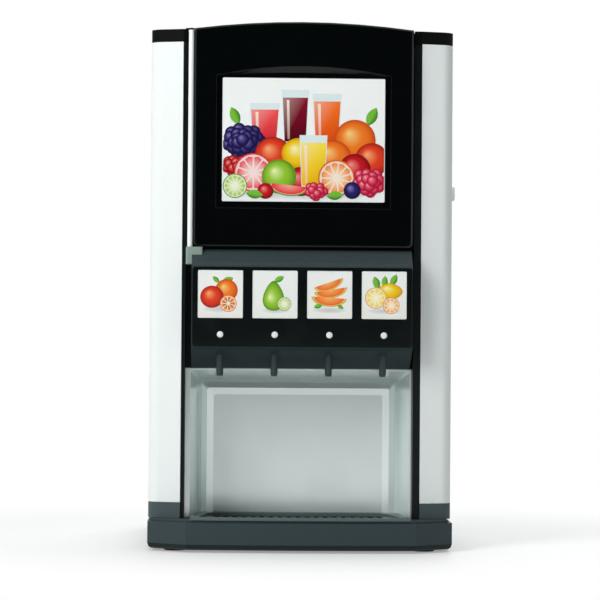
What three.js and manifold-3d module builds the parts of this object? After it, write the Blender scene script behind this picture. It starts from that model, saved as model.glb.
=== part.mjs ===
import * as THREE from "three";
import { mergeVertices } from "three/addons/utils/BufferGeometryUtils.js";
import Module from "manifold-3d";

const wasm = await Module();
wasm.setup();

// A countertop refrigerated dispenser for four juices.
// Millimetres, X to the right, the front faces -Y, Z up, origin on the counter under the middle.

// Fits and walls that several pieces share
const seat = 0.3; // left between two pieces that touch
const overrun = 6; // how far a cut runs past the face that it opens
const weld = 0.001; // points closer than this are one point
const sheet = 2.5; // painted side panels and lid
const steel = 1.5; // galvanised chassis
const moulding = 3; // plastic housings
const boltClearance = 0.8; // round a shaft or spout that only passes through

// Facets of the round stretches
const roundSides = 20;
const smallSides = 12;
const tubeSides = 6; // soft tubes
const pinSides = 8; // pins, bores and rollers
const cornerSteps = 3;
const bowSteps = 8;

// Overall body and the heights of its courses
const bodyWidth = 460;
const bodyDepth = 600;
const plinthBottom = 4;
const plinthHeight = 40;
const deckStep = 4; // the deck stands above the plinth edge and leaves a dark seam
const blockHeight = 24;
const lidHeight = 19;
const archRise = 11; // crown of the door above the lid

// Plinth outline
const plinthCheekWidth = 58;
const plinthBow = 8;
const plinthCheekDepth = 42;
const plinthRearRadius = 14;
const plinthUndercut = 6;
const plinthUndercutHeight = 8;
const deckInset = 6;
const ribFromRear = 130;
const ribAcross = 105;
const undercutRoundShare = 0.3; // where the rounded under edge has its knee

// Feet
const footRadius = 18;
const footChamfer = 2;
const footStemRadius = 5;
const footStemLength = 16;
const footBossRadius = 11;
const footFromSide = 42;
const footFromFront = 70;
const footFromRear = 36;

// Front line of the side panels, which the lid and the corner blocks follow
const panelBand = 48.7; // width of the panel's front, from its lip to the side
const panelLipSetback = 60;
const panelChamfer = 10.5; // the front falls back by this, and then again round the corner
const panelCornerRadius = 6;
const panelRearReturn = 24;
const panelRearRadius = 6;
const panelFootFlange = 12;
const blockTail = 10; // how far a corner block runs back past the panel's corner

// Front frame
const frameSetback = 86;
const frameThickness = 6;
const frameMargin = 0.5; // past the cabinet behind it
const pumpZoneInset = 6; // the pump motors pass through an opening narrower than the head
const pumpZoneBelow = 62;
const stileDepth = 24;
const rightStileWidth = 11;
const leftStileWidth = 5.5;

// Cold compartment and its insulated cabinet
const insulation = 45;
const floorInsulation = 39;
const cabinetRoof = 18;
const cabinetSideSpace = 32.5;
const cabinetRearSpace = 65.7;
const roofGap = 2;
const coldHeadroom = 38; // above the caps of the containers
const coldSill = 11.7; // the door covers the front below the cold floor by this
const railHeight = 12;
const railThickness = 3;

// Chassis
const chassisCover = 4;
const chassisFlange = 13;

// Cup cavity, a pocket that narrows and lowers towards the back
const cavitySideGap = 3;
const cavityTaper = 15;
const cavityDepth = 111;
const cavityHeight = 224.5;
const cavityFall = 19;
const cavityCornerRadius = 5;
const cavityBackRadius = 20;
const cavityFlangeRise = 2.5;
const pocketSheet = 2;

// Drip tray and grille
const trayMouthGap = 2;
const trayFrontSetback = 3;
const traySideGap = 1.5;
const trayRearRadius = 24;
const trayRimHeight = 2;
const trayFrontLip = 5; // stands up before the stiles and hides the grille from the front
const trayOverhang = 10;
const trayWall = 2.5;
const trayFloorZ = 20;
const trayBasinGap = 1;
const trayLipWidth = 5;
const grilleSunk = 5;
const grilleThickness = 3.7;
const grilleLedge = 5;
const grilleGap = 0.5;
const slotWidth = 7;
const slotPitch = 14;
const slotRows = 2;
const slotMargin = 8;

// Dispensing head, its profile seen from the side
const headSideGap = 4;
const headSetback = 15;
const headFaceHeight = 122.5;
const headLedgeDepth = 35;
const headLedgeRise = 26.5;
const headChinGap = 0.5;
const headChinRise = 31;
const headChinDepth = 3; // how far the chin's rear edge stands before the frame
const headEdge = 8;
const headCheek = 2.4; // left of the first flavour and right of the last

// Button fascia with the four flavour windows
const fasciaThickness = 3;
const fasciaMargin = 1.5;
const fasciaRadius = 4;
const flavourCount = 4;
const cardGap = 14.3;
const cardBelowEdge = 6.6;
const cardAboveButtons = 24.6;
const cardRadius = 2;
const cardThickness = 2.4;
const buttonRadius = 4.9;
const buttonProud = 1.2;
const buttonTravel = 2;
const buttonSkirtRadius = 6.5;
const buttonSkirt = 1.5;
const buttonDome = 0.8;
const buttonAboveChin = 19.7;
const boardThickness = 1.6;
const boardSideGap = 20;
const boardHeight = 24;
const boardDropBelowButtons = 12;
const switchSize = 6;
const standoffRadius = 3;

// Nozzles
const nozzleSetback = 28; // behind the head's face
const nozzleDrop = 11.5;
const nozzleTipRadius = 4.4;
const nozzleTaper = 4;
const nozzleRadius = 5.4;
const nozzleBossRadius = 9;
const nozzleBossHeight = 26;
const nozzleCollarRadius = 8;
const nozzleCollarHeight = 2.6;
const nozzleBarbRadius = 3.6;
const nozzleBarbHeight = 9;
const nozzleBore = 2.4;

// Peristaltic pumps
const tubeRadius = 4;
const tubeLoopRadius = 20;
const tubeTurnRadius = 11;
const raceGap = 0.4;
const raceWall = 3.4;
const raceFrontMargin = 2;
const pumpPlate = 3;
const pumpPlateHeight = 68;
const rollerRadius = 4.5;
const rollerCount = 3;
const rotorGap = 0.5;
const rotorPlateGap = 3;
const rotorDisc = 2;
const rotorDiscRadius = 14.5;
const rotorHubRadius = 5.5;
const rotorLength = 22;
const shaftRadius = 2.5;
const shaftBore = 2.8;
const motorGearWidth = 38;
const motorGearLength = 13;
const motorCanRadius = 16.5;
const motorCanLength = 38;

// Juice containers
const containerHeight = 230;
const containerGap = 4;
const containerSideGap = 0.5;
const containerFrontGap = 5;
const containerRearGap = 62;
const containerEdge = 3;
const containerShoulder = 26;
const containerShoulderDepth = 54;
const containerRadius = 10;
const spoutFromFront = 18;
const spoutRadius = 6;
const spoutDrop = 16;
const spoutBoreRadius = 2.6;
const capRadius = 21;
const capHeight = 12;
const capFromRear = 60;
const gripWidth = 40;
const gripDepth = 7;
const gripHeight = 26;
const gripZ = 128;

// Juice tube between container and pump
const tubeBarbRise = 12.8; // straight stretch above the nozzle's barb
const tubeBendRise = 24;
const tubeBendDepth = 20;
const tubeExitDrop = 22;
const tubeSteps = 30;

// Door
const doorSideGap = 2.5;
const doorBottomGap = 2.8;
const doorDepth = 34;
const doorFrameGap = 8; // filled by the gasket
const doorEdge = 3;
const doorCornerRadius = 9;
const recessSideMargin = 34.25;
const recessAboveSill = 59.2;
const recessBelowLid = 70.5;
const pictureRecessDepth = 6;
const browFrontRise = 14;
const browBackRise = 5;
const pictureSideMargin = 9;
const pictureBottomMargin = 10;
const pictureTopMargin = 4;
const pictureThickness = 4;
const linerThickness = 2.6;
const linerPlugDepth = 6;
const linerPlugMargin = 9;
const linerRibDepth = 14;
const linerPlugRadius = 16;
const gasketWidth = 9;
const gasketRadius = 20;
const gasketInset = 3.6;

// Door hinge
const hingeSideGap = 2.2;
const hingeProfileRadius = 4;
const hingePinRadius = 2.2;
const hingePinLength = 12;
const hingeBlockReach = 19.3;
const hingeBlockProud = 10;
const hingeBlockHeight = 26;
const hingeArmWidth = 7;
const hingeLugRoot = 4; // how far the upper lug runs into the lid

// Key switch in the right side panel
const keyBehindCorner = 24;
const keyAboveColdFloor = 79;
const keyHeadRadius = 9;
const keyHeadHeight = 4.7;
const keyBodyRadius = 7;
const keyBodyLength = 16;
const keySlotWidth = 2;
const keySlotLength = 9;
const keySlotDepth = 2.5;
const keyCamLength = 16;
const keyCamWidth = 8;
const keyCamThickness = 2;

// Rear panel with its louvres and the mains inlet
const rearPanelSetback = 5;
const rearPanelSheet = 2;
const louvreHeight = 5;
const louvrePitch = 18;
const louvreRows = 10;
const louvreAboveDeck = 48;
const louvreFromMiddle = 27;
const louvreFromEdge = 64.5;
const inletCentreX = 0;
const inletBelowDeckSheet = 101;
const inletPlateWidth = 64;
const inletPlateHeight = 54;
const inletShellWidth = 31;
const inletShellHeight = 24;
const inletShellDepth = 20;
const inletWall = 2;
const inletPinWidth = 4;
const inletPinThickness = 2;
const inletPinPitch = 7;

// Refrigeration
const compressorSideGap = 38;
const compressorFromRear = 225;
const compressorRadius = 62;
const compressorHeight = 122;
const compressorFootHeight = 10;
const compressorFootSpan = 140;
const compressorSeamZShare = 0.52;
const compressorShoulderShare = 0.78;
const condenserSideGap = 20;
const condenserWidth = 176;
const condenserHeight = 176;
const condenserLift = 16;
const condenserRearGap = 8;
const condenserDepth = 30;
const condenserEnd = 5;
const finPitch = 12;
const finGap = 8;
const shroudDepth = 26;
const shroudSheet = 2;
const fanRadius = 70;
const fanTipGap = 3;
const fanHubRadius = 18;
const fanHubLength = 16;
const fanBladeCount = 5;
const fanBladeChord = 30;
const fanBladeThickness = 2;
const fanBladePitch = Math.PI / 5;
const fanMotorRadius = 20;
const fanMotorLength = 24;
const fanBracketWidth = 16;
const fanBracketSheet = 3;
const fanRunningGap = 2;

// Places worked out from the sizes above
const halfWidth = bodyWidth / 2;
const frontY = -bodyDepth / 2;
const rearY = bodyDepth / 2;
const plinthTop = plinthBottom + plinthHeight;
const deckTop = plinthTop + deckStep;
const blockTop = deckTop + blockHeight;
const shoulderY = frontY + plinthBow;

// Across: from the side panels inwards
const panelLipX = halfWidth - panelBand;
const panelCheekX = halfWidth - panelChamfer;
const stileOuterX = panelLipX - seat;
const stileInnerRightX = stileOuterX - rightStileWidth;
const stileInnerLeftX = leftStileWidth - stileOuterX;
const hingeX = stileInnerLeftX + hingeSideGap + hingeProfileRadius;
const hingeBlockRightX = hingeX + hingeBlockReach;
const doorLeftX = hingeX + hingeProfileRadius + seat;
const doorRightX = stileInnerRightX - doorSideGap;
const headWidth = 2 * (stileInnerRightX - headSideGap);
const flavourPitch = (headWidth - 2 * headCheek) / flavourCount;
const cardWidth = flavourPitch - cardGap;
const boardWidth = headWidth - 2 * boardSideGap;
const pumpZoneWidth = headWidth - 2 * pumpZoneInset;
const cavityFrontWidth = 2 * (stileInnerRightX - cavitySideGap);
const cavityBackWidth = cavityFrontWidth - 2 * cavityTaper;
const trayWidth = cavityFrontWidth - 2 * trayMouthGap;
const cabinetHalfWidth = halfWidth - cabinetSideSpace;
const coldWidth = 2 * (cabinetHalfWidth - insulation);
const containerPitch = (coldWidth - 2 * containerSideGap) / flavourCount;
const containerWidth = containerPitch - containerGap;
const chassisHalfWidth = cabinetHalfWidth + chassisCover;
const frameWidth = 2 * (cabinetHalfWidth + frameMargin);
const compressorX = chassisHalfWidth - steel - compressorFootSpan / 2 - compressorSideGap;
const condenserX = condenserSideGap + condenserWidth / 2 + steel - chassisHalfWidth;

// From the front to the rear
const panelLipY = frontY + panelLipSetback;
const panelCheekY = panelLipY + panelChamfer;
const panelCornerY = panelCheekY + panelChamfer;
const blockRearY = panelCornerY + blockTail;
const keyY = panelCornerY + keyBehindCorner;
const frameFrontY = frontY + frameSetback;
const frameRearY = frameFrontY + frameThickness;
const stileFrontY = frameFrontY - stileDepth;
const doorRearY = frameFrontY - doorFrameGap;
const doorFrontY = doorRearY - doorDepth;
const hingeY = doorFrontY + hingeProfileRadius;
const hingeBlockFrontY = hingeY - hingeBlockProud;
const hingeLugRearY = panelLipY + hingeLugRoot;
const cavityFrontY = frameFrontY - seat - pocketSheet;
const cavityBackY = cavityFrontY + cavityDepth;
const headFrontY = frontY + headSetback;
const headTopY = headFrontY + headLedgeDepth;
const headChinY = frameFrontY - headChinDepth;
const headInnerY = headFrontY + moulding;
const fasciaRearY = headFrontY - seat;
const fasciaFrontY = fasciaRearY - fasciaThickness;
const nozzleY = headFrontY + nozzleSetback;
const rotorFrontY = nozzleY - rotorLength / 2;
const pumpPlateFrontY = rotorFrontY + rotorLength + rotorPlateGap;
const pumpPlateRearY = pumpPlateFrontY + pumpPlate;
const cabinetFrontY = frameRearY + seat;
const cabinetRearY = rearY - cabinetRearSpace;
const coldRearY = cabinetRearY - insulation;
const spoutY = cabinetFrontY + containerFrontGap + spoutFromFront;
const containerDepth = coldRearY - cabinetFrontY - containerFrontGap - containerRearGap;
const rearPanelFrontY = rearY - rearPanelSetback;
const chassisRearY = rearPanelFrontY - seat;
const compressorY = rearY - compressorFromRear;
const shroudFrontY = chassisRearY - condenserRearGap - condenserDepth - shroudDepth;

// From the deck up: cup cavity, head, cold compartment and lid
const cavityTopFrontZ = deckTop + cavityHeight;
const cavityTopBackZ = cavityTopFrontZ - cavityFall;
const cavityFlangeTopZ = cavityTopFrontZ + cavityFlangeRise;
const headChinZ = cavityFlangeTopZ + headChinGap;
const headFrontBottomZ = headChinZ + headChinRise;
const headFrontTopZ = headFrontBottomZ + headFaceHeight;
const headTopZ = headFrontTopZ + headLedgeRise;
const buttonCentreZ = headFrontBottomZ + buttonAboveChin;
const cardBottomZ = buttonCentreZ + cardAboveButtons;
const cardHeight = headFrontTopZ - cardBelowEdge - cardBottomZ;
const cardCentreZ = cardBottomZ + cardHeight / 2;
const nozzleTipZ = headChinZ - nozzleDrop;
const nozzleBossTopZ = headChinZ + nozzleBossHeight;
const nozzleBarbTopZ = nozzleBossTopZ + seat + nozzleCollarHeight + nozzleBarbHeight;
const pumpCentreZ = nozzleBarbTopZ + seat + tubeBarbRise + tubeTurnRadius + tubeLoopRadius;
const tubeBendZ = pumpCentreZ + tubeLoopRadius + tubeTurnRadius + tubeBendRise;
const pumpPlateTopZ = pumpCentreZ + pumpPlateHeight / 2;
const pumpPlateBottomZ = pumpCentreZ - pumpPlateHeight / 2;
const pumpZoneBottomZ = pumpCentreZ - pumpZoneBelow;
const doorBottomZ = headTopZ + doorBottomGap;
const coldFloorZ = doorBottomZ + coldSill;
const deckSheetTop = coldFloorZ - floorInsulation;
const coldHeight = containerHeight + capHeight + coldHeadroom;
const coldTopZ = coldFloorZ + coldHeight;
const lidBottom = coldTopZ + cabinetRoof + roofGap;
const lidTop = lidBottom + lidHeight;
const keyZ = coldFloorZ + keyAboveColdFloor;
const pictureRecessBottomZ = doorBottomZ + recessAboveSill;
const pictureRecessShoulderZ = lidTop - recessBelowLid;
const pictureBottomZ = pictureRecessBottomZ + pictureBottomMargin;
const pictureHeight = pictureRecessShoulderZ - pictureTopMargin - pictureBottomZ;
const pictureCentreZ = pictureBottomZ + pictureHeight / 2;
const pictureRecessWidth = doorRightX - doorLeftX - 2 * recessSideMargin;
const pictureWidth = pictureRecessWidth - 2 * pictureSideMargin;
const inletCentreZ = deckSheetTop - inletBelowDeckSheet;
const louvreFirstZ = deckTop + louvreAboveDeck;

// Radii of the pump's raceway and of its rollers' reach
const raceRadius = tubeLoopRadius + tubeRadius + raceGap;
const rollerReach = tubeLoopRadius - tubeRadius - rotorGap;

// Every finish by name
const finishes = {
  white: { color: 0xf4f6f5, roughness: 0.4, metalness: 0 },
  glossBlack: { color: 0x08090b, roughness: 0.08, metalness: 0 },
  satinBlack: { color: 0x0d0f11, roughness: 0.35, metalness: 0 },
  charcoal: { color: 0x3a4446, roughness: 0.45, metalness: 0 },
  slate: { color: 0x525f61, roughness: 0.5, metalness: 0 },
  paleGreen: { color: 0x8fa39a, roughness: 0.45, metalness: 0 },
  liner: { color: 0xe6e9ea, roughness: 0.4, metalness: 0 },
  steel: { color: 0xc4c9c8, roughness: 0.3, metalness: 1 },
  aluminium: { color: 0xe2e4e5, roughness: 0.25, metalness: 1 },
  rubber: { color: 0x151515, roughness: 0.8, metalness: 0 },
  board: { color: 0x1f5a3a, roughness: 0.6, metalness: 0 },
  silicone: { color: 0xe9e6dd, roughness: 0.45, metalness: 0 },
  juice: { color: 0xe8a33a, roughness: 0.45, metalness: 0 },
  picture: { color: 0xd98a3c, roughness: 0.25, metalness: 0 },
  button: { color: 0xf2f4f4, roughness: 0.35, metalness: 0 },
};

// A profile is drawn in local x and y and runs along local z; these turn local z to the named axis.
const alongX = new THREE.Vector3(1, 0, 0);
const alongY = new THREE.Vector3(0, 1, 0);
const alongZ = new THREE.Vector3(0, 0, 1);
const frames = {
  x: new THREE.Matrix4().makeBasis(alongY, alongZ, alongX),
  y: new THREE.Matrix4().makeBasis(alongX, alongZ, alongY.clone().negate()),
  z: new THREE.Matrix4(),
};

// The local level of a place on the named axis
function level(axis, place) {
  return axis === "y" ? -place : place;
}

// Turns a closed geometry into a solid, with doubled corners merged and its faces pointing out.
function solid(geometry) {
  const bare = geometry.clone();
  bare.deleteAttribute("normal");
  bare.deleteAttribute("uv");
  const merged = mergeVertices(bare, weld);
  const places = merged.attributes.position.array;
  const corners = merged.index.array;
  const kept = [];
  const a = new THREE.Vector3();
  const b = new THREE.Vector3();
  const c = new THREE.Vector3();
  let volume = 0;
  for (let i = 0; i < corners.length; i += 3) {
    const [p, q, r] = [corners[i], corners[i + 1], corners[i + 2]];
    if (p === q || q === r || r === p) continue;
    kept.push([p, q, r]);
    a.fromArray(places, 3 * p);
    b.fromArray(places, 3 * q);
    c.fromArray(places, 3 * r);
    volume += a.dot(b.cross(c));
  }
  const triangles = volume < 0 ? kept.map(([p, q, r]) => [p, r, q]) : kept;
  return new wasm.Manifold(new wasm.Mesh({
    numProp: 3,
    vertProperties: new Float32Array(places),
    triVerts: new Uint32Array(triangles.flat()),
  }));
}

function block([x0, x1], [y0, y1], [z0, z1]) {
  const geometry = new THREE.BoxGeometry(x1 - x0, y1 - y0, z1 - z0);
  geometry.translate((x0 + x1) / 2, (y0 + y1) / 2, (z0 + z1) / 2);
  return solid(geometry);
}

// Draws an outline or an open path from corners [x, y, radius], with each radius as a smooth turn.
function path(corners, closed = false) {
  const points = [];
  corners.forEach(([x, y, radius = 0], i) => {
    const corner = new THREE.Vector2(x, y);
    const inner = closed || (i > 0 && i < corners.length - 1);
    if (!radius || !inner) {
      points.push(corner);
      return;
    }
    const [xBefore, yBefore] = corners[(i + corners.length - 1) % corners.length];
    const [xAfter, yAfter] = corners[(i + 1) % corners.length];
    const back = new THREE.Vector2(xBefore, yBefore).sub(corner).setLength(radius).add(corner);
    const on = new THREE.Vector2(xAfter, yAfter).sub(corner).setLength(radius).add(corner);
    points.push(...new THREE.QuadraticBezierCurve(back, corner, on).getPoints(cornerSteps));
  });
  return points;
}

function outline(corners) {
  return path(corners, true);
}

function roundedBox([x0, x1], [y0, y1], radius) {
  return outline([[x0, y0, radius], [x1, y0, radius], [x1, y1, radius], [x0, y1, radius]]);
}

function circle(radius, sides) {
  return new THREE.Path().absarc(0, 0, radius, 0, 2 * Math.PI).getPoints(sides).slice(0, sides);
}

// A shallow arch from one point to another, swelling to the right of its way
function bow([x0, y0], [x1, y1], rise) {
  const from = new THREE.Vector2(x0, y0);
  const to = new THREE.Vector2(x1, y1);
  const way = to.clone().sub(from).normalize();
  const middle = from.clone().add(to).divideScalar(2);
  middle.add(new THREE.Vector2(way.y, -way.x).multiplyScalar(2 * rise));
  return new THREE.QuadraticBezierCurve(from, middle, to).getPoints(bowSteps);
}

// Moves each point of a path to its left, along the mitre of its corner.
function inset(points, distance, closed = true) {
  return points.map((point, i) => {
    const before = closed || i > 0 ? points.at((i + points.length - 1) % points.length) : null;
    const after = closed || i < points.length - 1 ? points[(i + 1) % points.length] : null;
    const way = before ? point.clone().sub(before).normalize() : after.clone().sub(point).normalize();
    const next = after ? after.clone().sub(point).normalize() : way;
    const mitre = new THREE.Vector2(-way.y - next.y, way.x + next.x);
    return mitre.multiplyScalar(distance / (1 + way.dot(next))).add(point);
  });
}

// Gives an open path a thickness to its left.
function thickened(points, thickness) {
  return [...points, ...inset(points, thickness, false).reverse()];
}

// The same outline on the given side of the middle plane, 1 for the right and -1 for the left
function sided(points, side) {
  return side > 0 ? points : points.map((point) => new THREE.Vector2(-point.x, point.y)).reverse();
}

// The two halves of a symmetric outline, of which the right half is given from front to rear
function bothHalves(rightHalf) {
  const leftHalf = sided(rightHalf, -1);
  return [...rightHalf, ...leftHalf];
}

function prism(axis, points, [from, to]) {
  const shape = new THREE.Shape(points);
  const geometry = new THREE.ExtrudeGeometry(shape, { depth: to - from, bevelEnabled: false });
  geometry.translate(0, 0, Math.min(level(axis, from), level(axis, to)));
  geometry.applyMatrix4(frames[axis]);
  return solid(geometry);
}

function rod(axis, radius, [from, to], [u, v], sides = smallSides) {
  const geometry = new THREE.CylinderGeometry(radius, radius, to - from, sides);
  geometry.rotateX(Math.PI / 2);
  geometry.translate(u, v, (level(axis, from) + level(axis, to)) / 2);
  geometry.applyMatrix4(frames[axis]);
  return solid(geometry);
}

// A turned solid from a profile of [radius, place along the axis]
function turned(axis, profile, [u, v], sides = smallSides) {
  const points = profile.map(([radius, place]) => new THREE.Vector2(radius, level(axis, place)));
  const geometry = new THREE.LatheGeometry(points, sides);
  geometry.rotateX(Math.PI / 2);
  geometry.translate(u, v, 0);
  geometry.applyMatrix4(frames[axis]);
  return solid(geometry);
}

// A solid through sections [outline, place along the axis], all with the same count of points
function loft(axis, sections) {
  const places = [];
  const count = sections[0][0].length;
  sections.forEach(([points, place]) => {
    points.forEach((point) => places.push(point.x, point.y, level(axis, place)));
  });
  const corners = [];
  for (let s = 0; s < sections.length - 1; s += 1) {
    for (let i = 0; i < count; i += 1) {
      const near = s * count + i;
      const beside = s * count + ((i + 1) % count);
      corners.push(near, beside, beside + count, near, beside + count, near + count);
    }
  }
  const last = (sections.length - 1) * count;
  THREE.ShapeUtils.triangulateShape(sections[0][0], []).forEach(([p, q, r]) => corners.push(p, r, q));
  THREE.ShapeUtils.triangulateShape(sections.at(-1)[0], []).forEach(([p, q, r]) => {
    corners.push(last + p, last + q, last + r);
  });
  const geometry = new THREE.BufferGeometry();
  geometry.setAttribute("position", new THREE.Float32BufferAttribute(places, 3));
  geometry.setIndex(corners);
  geometry.applyMatrix4(frames[axis]);
  return solid(geometry);
}

function union(pieces) {
  return pieces.reduce((joined, piece) => joined.add(piece));
}

function cut(piece, cutters) {
  return cutters.reduce((left, cutter) => left.subtract(cutter), piece);
}

// A named mesh of a finished solid
function mesh(name, piece, finish) {
  const { numProp, vertProperties, triVerts } = piece.getMesh();
  const geometry = new THREE.BufferGeometry();
  geometry.setAttribute("position", new THREE.BufferAttribute(vertProperties, numProp));
  geometry.setIndex(new THREE.BufferAttribute(triVerts, 1));
  geometry.computeVertexNormals();
  const material = new THREE.MeshStandardMaterial({ ...finishes[finish], flatShading: true });
  const named = new THREE.Mesh(geometry, material);
  named.name = name;
  return named;
}

// The middle of each of several places in a row, counted from 1
function row(count, pitch) {
  return Array.from({ length: count }, (unused, i) => ({ number: i + 1, x: (i - (count - 1) / 2) * pitch }));
}

// Plinth outline at its widest, right half from the front middle to the rear
function plinthOutline() {
  const shoulder = halfWidth - plinthCheekWidth;
  const front = bow([-shoulder, shoulderY], [shoulder, shoulderY], plinthBow);
  const rest = path([
    [shoulder, shoulderY],
    [halfWidth, shoulderY + plinthCheekDepth],
    [halfWidth, rearY, plinthRearRadius],
    [-halfWidth, rearY, plinthRearRadius],
    [-halfWidth, shoulderY + plinthCheekDepth],
    [-shoulder, shoulderY],
  ]);
  return [...front, ...rest.slice(1, -1)];
}

function footPlaces() {
  const x = halfWidth - footFromSide;
  return [
    { name: "foot_front_left", x: -x, y: frontY + footFromFront },
    { name: "foot_front_right", x, y: frontY + footFromFront },
    { name: "foot_rear_left", x: -x, y: rearY - footFromRear },
    { name: "foot_rear_right", x, y: rearY - footFromRear },
  ];
}

// Rim outline of the drip tray: it fills the cup cavity and follows the bowed plinth in front.
function trayOutline() {
  const half = trayWidth / 2;
  const backHalf = cavityBackWidth / 2 - traySideGap;
  const frontLineY = shoulderY + trayFrontSetback;
  const backY = cavityBackY - traySideGap;
  const front = bow([-half, frontLineY], [half, frontLineY], plinthBow);
  const rest = path([
    [half, frontLineY],
    [half, cavityFrontY],
    [backHalf, backY, trayRearRadius],
    [-backHalf, backY, trayRearRadius],
    [-half, cavityFrontY],
    [-half, frontLineY],
  ]);
  return [...front, ...rest.slice(1, -1)];
}

function basePan() {
  const edge = plinthOutline();
  const knee = plinthBottom + plinthUndercutHeight * undercutRoundShare;
  const full = plinthBottom + plinthUndercutHeight;
  const kneeInset = plinthUndercut * undercutRoundShare;
  const shell = loft("z", [
    [inset(edge, plinthUndercut), plinthBottom],
    [inset(edge, kneeInset), knee],
    [edge, full],
    [edge, plinthTop],
  ]);
  const deck = prism("z", inset(edge, deckInset), [plinthTop - moulding, deckTop]);
  const hollow = loft("z", [
    [inset(edge, plinthUndercut + moulding), plinthBottom - overrun],
    [inset(edge, plinthUndercut + moulding), plinthBottom],
    [inset(edge, moulding), full],
    [inset(edge, moulding), plinthTop - moulding],
  ]);
  const underDeck = prism("z", inset(edge, deckInset + moulding), [full, deckTop - moulding]);
  const basin = inset(trayOutline(), trayOverhang - trayBasinGap);
  const basinWall = prism("z", inset(basin, -moulding), [trayFloorZ - moulding, deckTop]);
  const basinSpace = prism("z", basin, [trayFloorZ, deckTop + overrun]);
  const filled = shell.add(deck);
  const ribZ = [trayFloorZ - moulding, deckTop - moulding / 2];
  const ribs = [rearY - ribFromRear, 0].map((y) => {
    return block([-halfWidth, halfWidth], [y - moulding / 2, y + moulding / 2], ribZ).intersect(filled);
  });
  const spine = [-ribAcross, ribAcross].map((x) => {
    return block([x - moulding / 2, x + moulding / 2], [cavityBackY - moulding, rearY], ribZ).intersect(filled);
  });
  const bosses = footPlaces().map(({ x, y }) => rod("z", footBossRadius, [plinthBottom, deckTop], [x, y]));
  const boreZ = [plinthBottom - overrun, plinthBottom + footStemLength + seat];
  const bores = footPlaces().map(({ x, y }) => rod("z", footStemRadius + seat, boreZ, [x, y]));
  const body = union([cut(filled, [hollow, underDeck]), basinWall, ...ribs, ...spine, ...bosses]);
  return cut(body, [basinSpace, ...bores]);
}

function foot() {
  const padTop = plinthBottom - seat;
  return turned("z", [
    [0, 0],
    [footRadius - footChamfer, 0],
    [footRadius, footChamfer],
    [footRadius, padTop],
    [footStemRadius, padTop],
    [footStemRadius, padTop + footStemLength],
    [0, padTop + footStemLength],
  ], [0, 0]);
}

// Outer line of the right side panel, from its lip beside the stile round to the rear return
function panelLine() {
  return path([
    [panelLipX, frameFrontY - seat],
    [panelLipX, panelLipY],
    [panelCheekX, panelCheekY, panelCornerRadius],
    [halfWidth, panelCornerY, panelCornerRadius],
    [halfWidth, rearY, panelRearRadius],
    [halfWidth - panelRearReturn, rearY],
  ]);
}

function sidePanel(side) {
  const bottom = deckTop + seat;
  const top = lidBottom - seat;
  const skin = prism("z", sided(thickened(panelLine(), sheet), side), [bottom, top]);
  const [outer, inner] = [halfWidth - sheet / 2, halfWidth - sheet / 2 - panelFootFlange];
  const flange = block([side * outer, side * inner].sort((p, q) => p - q), [blockRearY, rearPanelFrontY - seat],
    [bottom, bottom + sheet]);
  const across = [-halfWidth - overrun, halfWidth + overrun];
  const notch = block(across, [frontY, blockRearY + seat], [plinthTop, blockTop + seat]);
  const keyHole = rod("x", keyBodyRadius + seat, [halfWidth - 2 * overrun, halfWidth + overrun], [keyY, keyZ]);
  return cut(skin.add(flange), side > 0 ? [notch, keyHole] : [notch]);
}

function cornerBlock(side) {
  const edge = outline([
    [panelLipX, panelLipY],
    [panelCheekX, panelCheekY, panelCornerRadius],
    [halfWidth, panelCornerY, panelCornerRadius],
    [halfWidth, blockRearY],
    [panelLipX, blockRearY],
  ]);
  const body = prism("z", sided(edge, side), [deckTop + seat, blockTop]);
  const hollow = prism("z", sided(inset(edge, moulding), side), [deckTop - overrun, blockTop - moulding]);
  return cut(body, [hollow]);
}

function topLid() {
  const edge = bothHalves(path([
    [panelLipX, panelLipY],
    [panelCheekX, panelCheekY, panelCornerRadius],
    [halfWidth, panelCornerY, panelCornerRadius],
    [halfWidth, rearY, panelRearRadius],
    [0, rearY],
  ]).slice(0, -1));
  const notchX = [stileInnerLeftX, stileInnerRightX];
  const notch = block(notchX, [frontY, frameFrontY], [lidBottom - overrun, lidTop + overrun]);
  const notchWall = block([notchX[0] - sheet, notchX[1] + sheet], [frontY, frameFrontY + sheet],
    [lidBottom - overrun, lidTop + overrun]);
  const hollow = prism("z", inset(edge, sheet), [lidBottom - overrun, lidTop - sheet]).subtract(notchWall);
  const body = cut(prism("z", edge, [lidBottom, lidTop]), [hollow, notch]);
  const lug = block([stileInnerLeftX - sheet, hingeX + hingeProfileRadius], [hingeY, hingeLugRearY],
    [lidTop - sheet, lidTop]);
  const eye = rod("z", hingeProfileRadius, [lidTop - sheet, lidTop], [hingeX, hingeY]);
  const pinZ = [lidTop - sheet / 2 - hingePinLength, lidTop - sheet / 2];
  const pin = rod("z", hingePinRadius, pinZ, [hingeX, hingeY], pinSides);
  return union([body, lug, eye, pin]);
}

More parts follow.
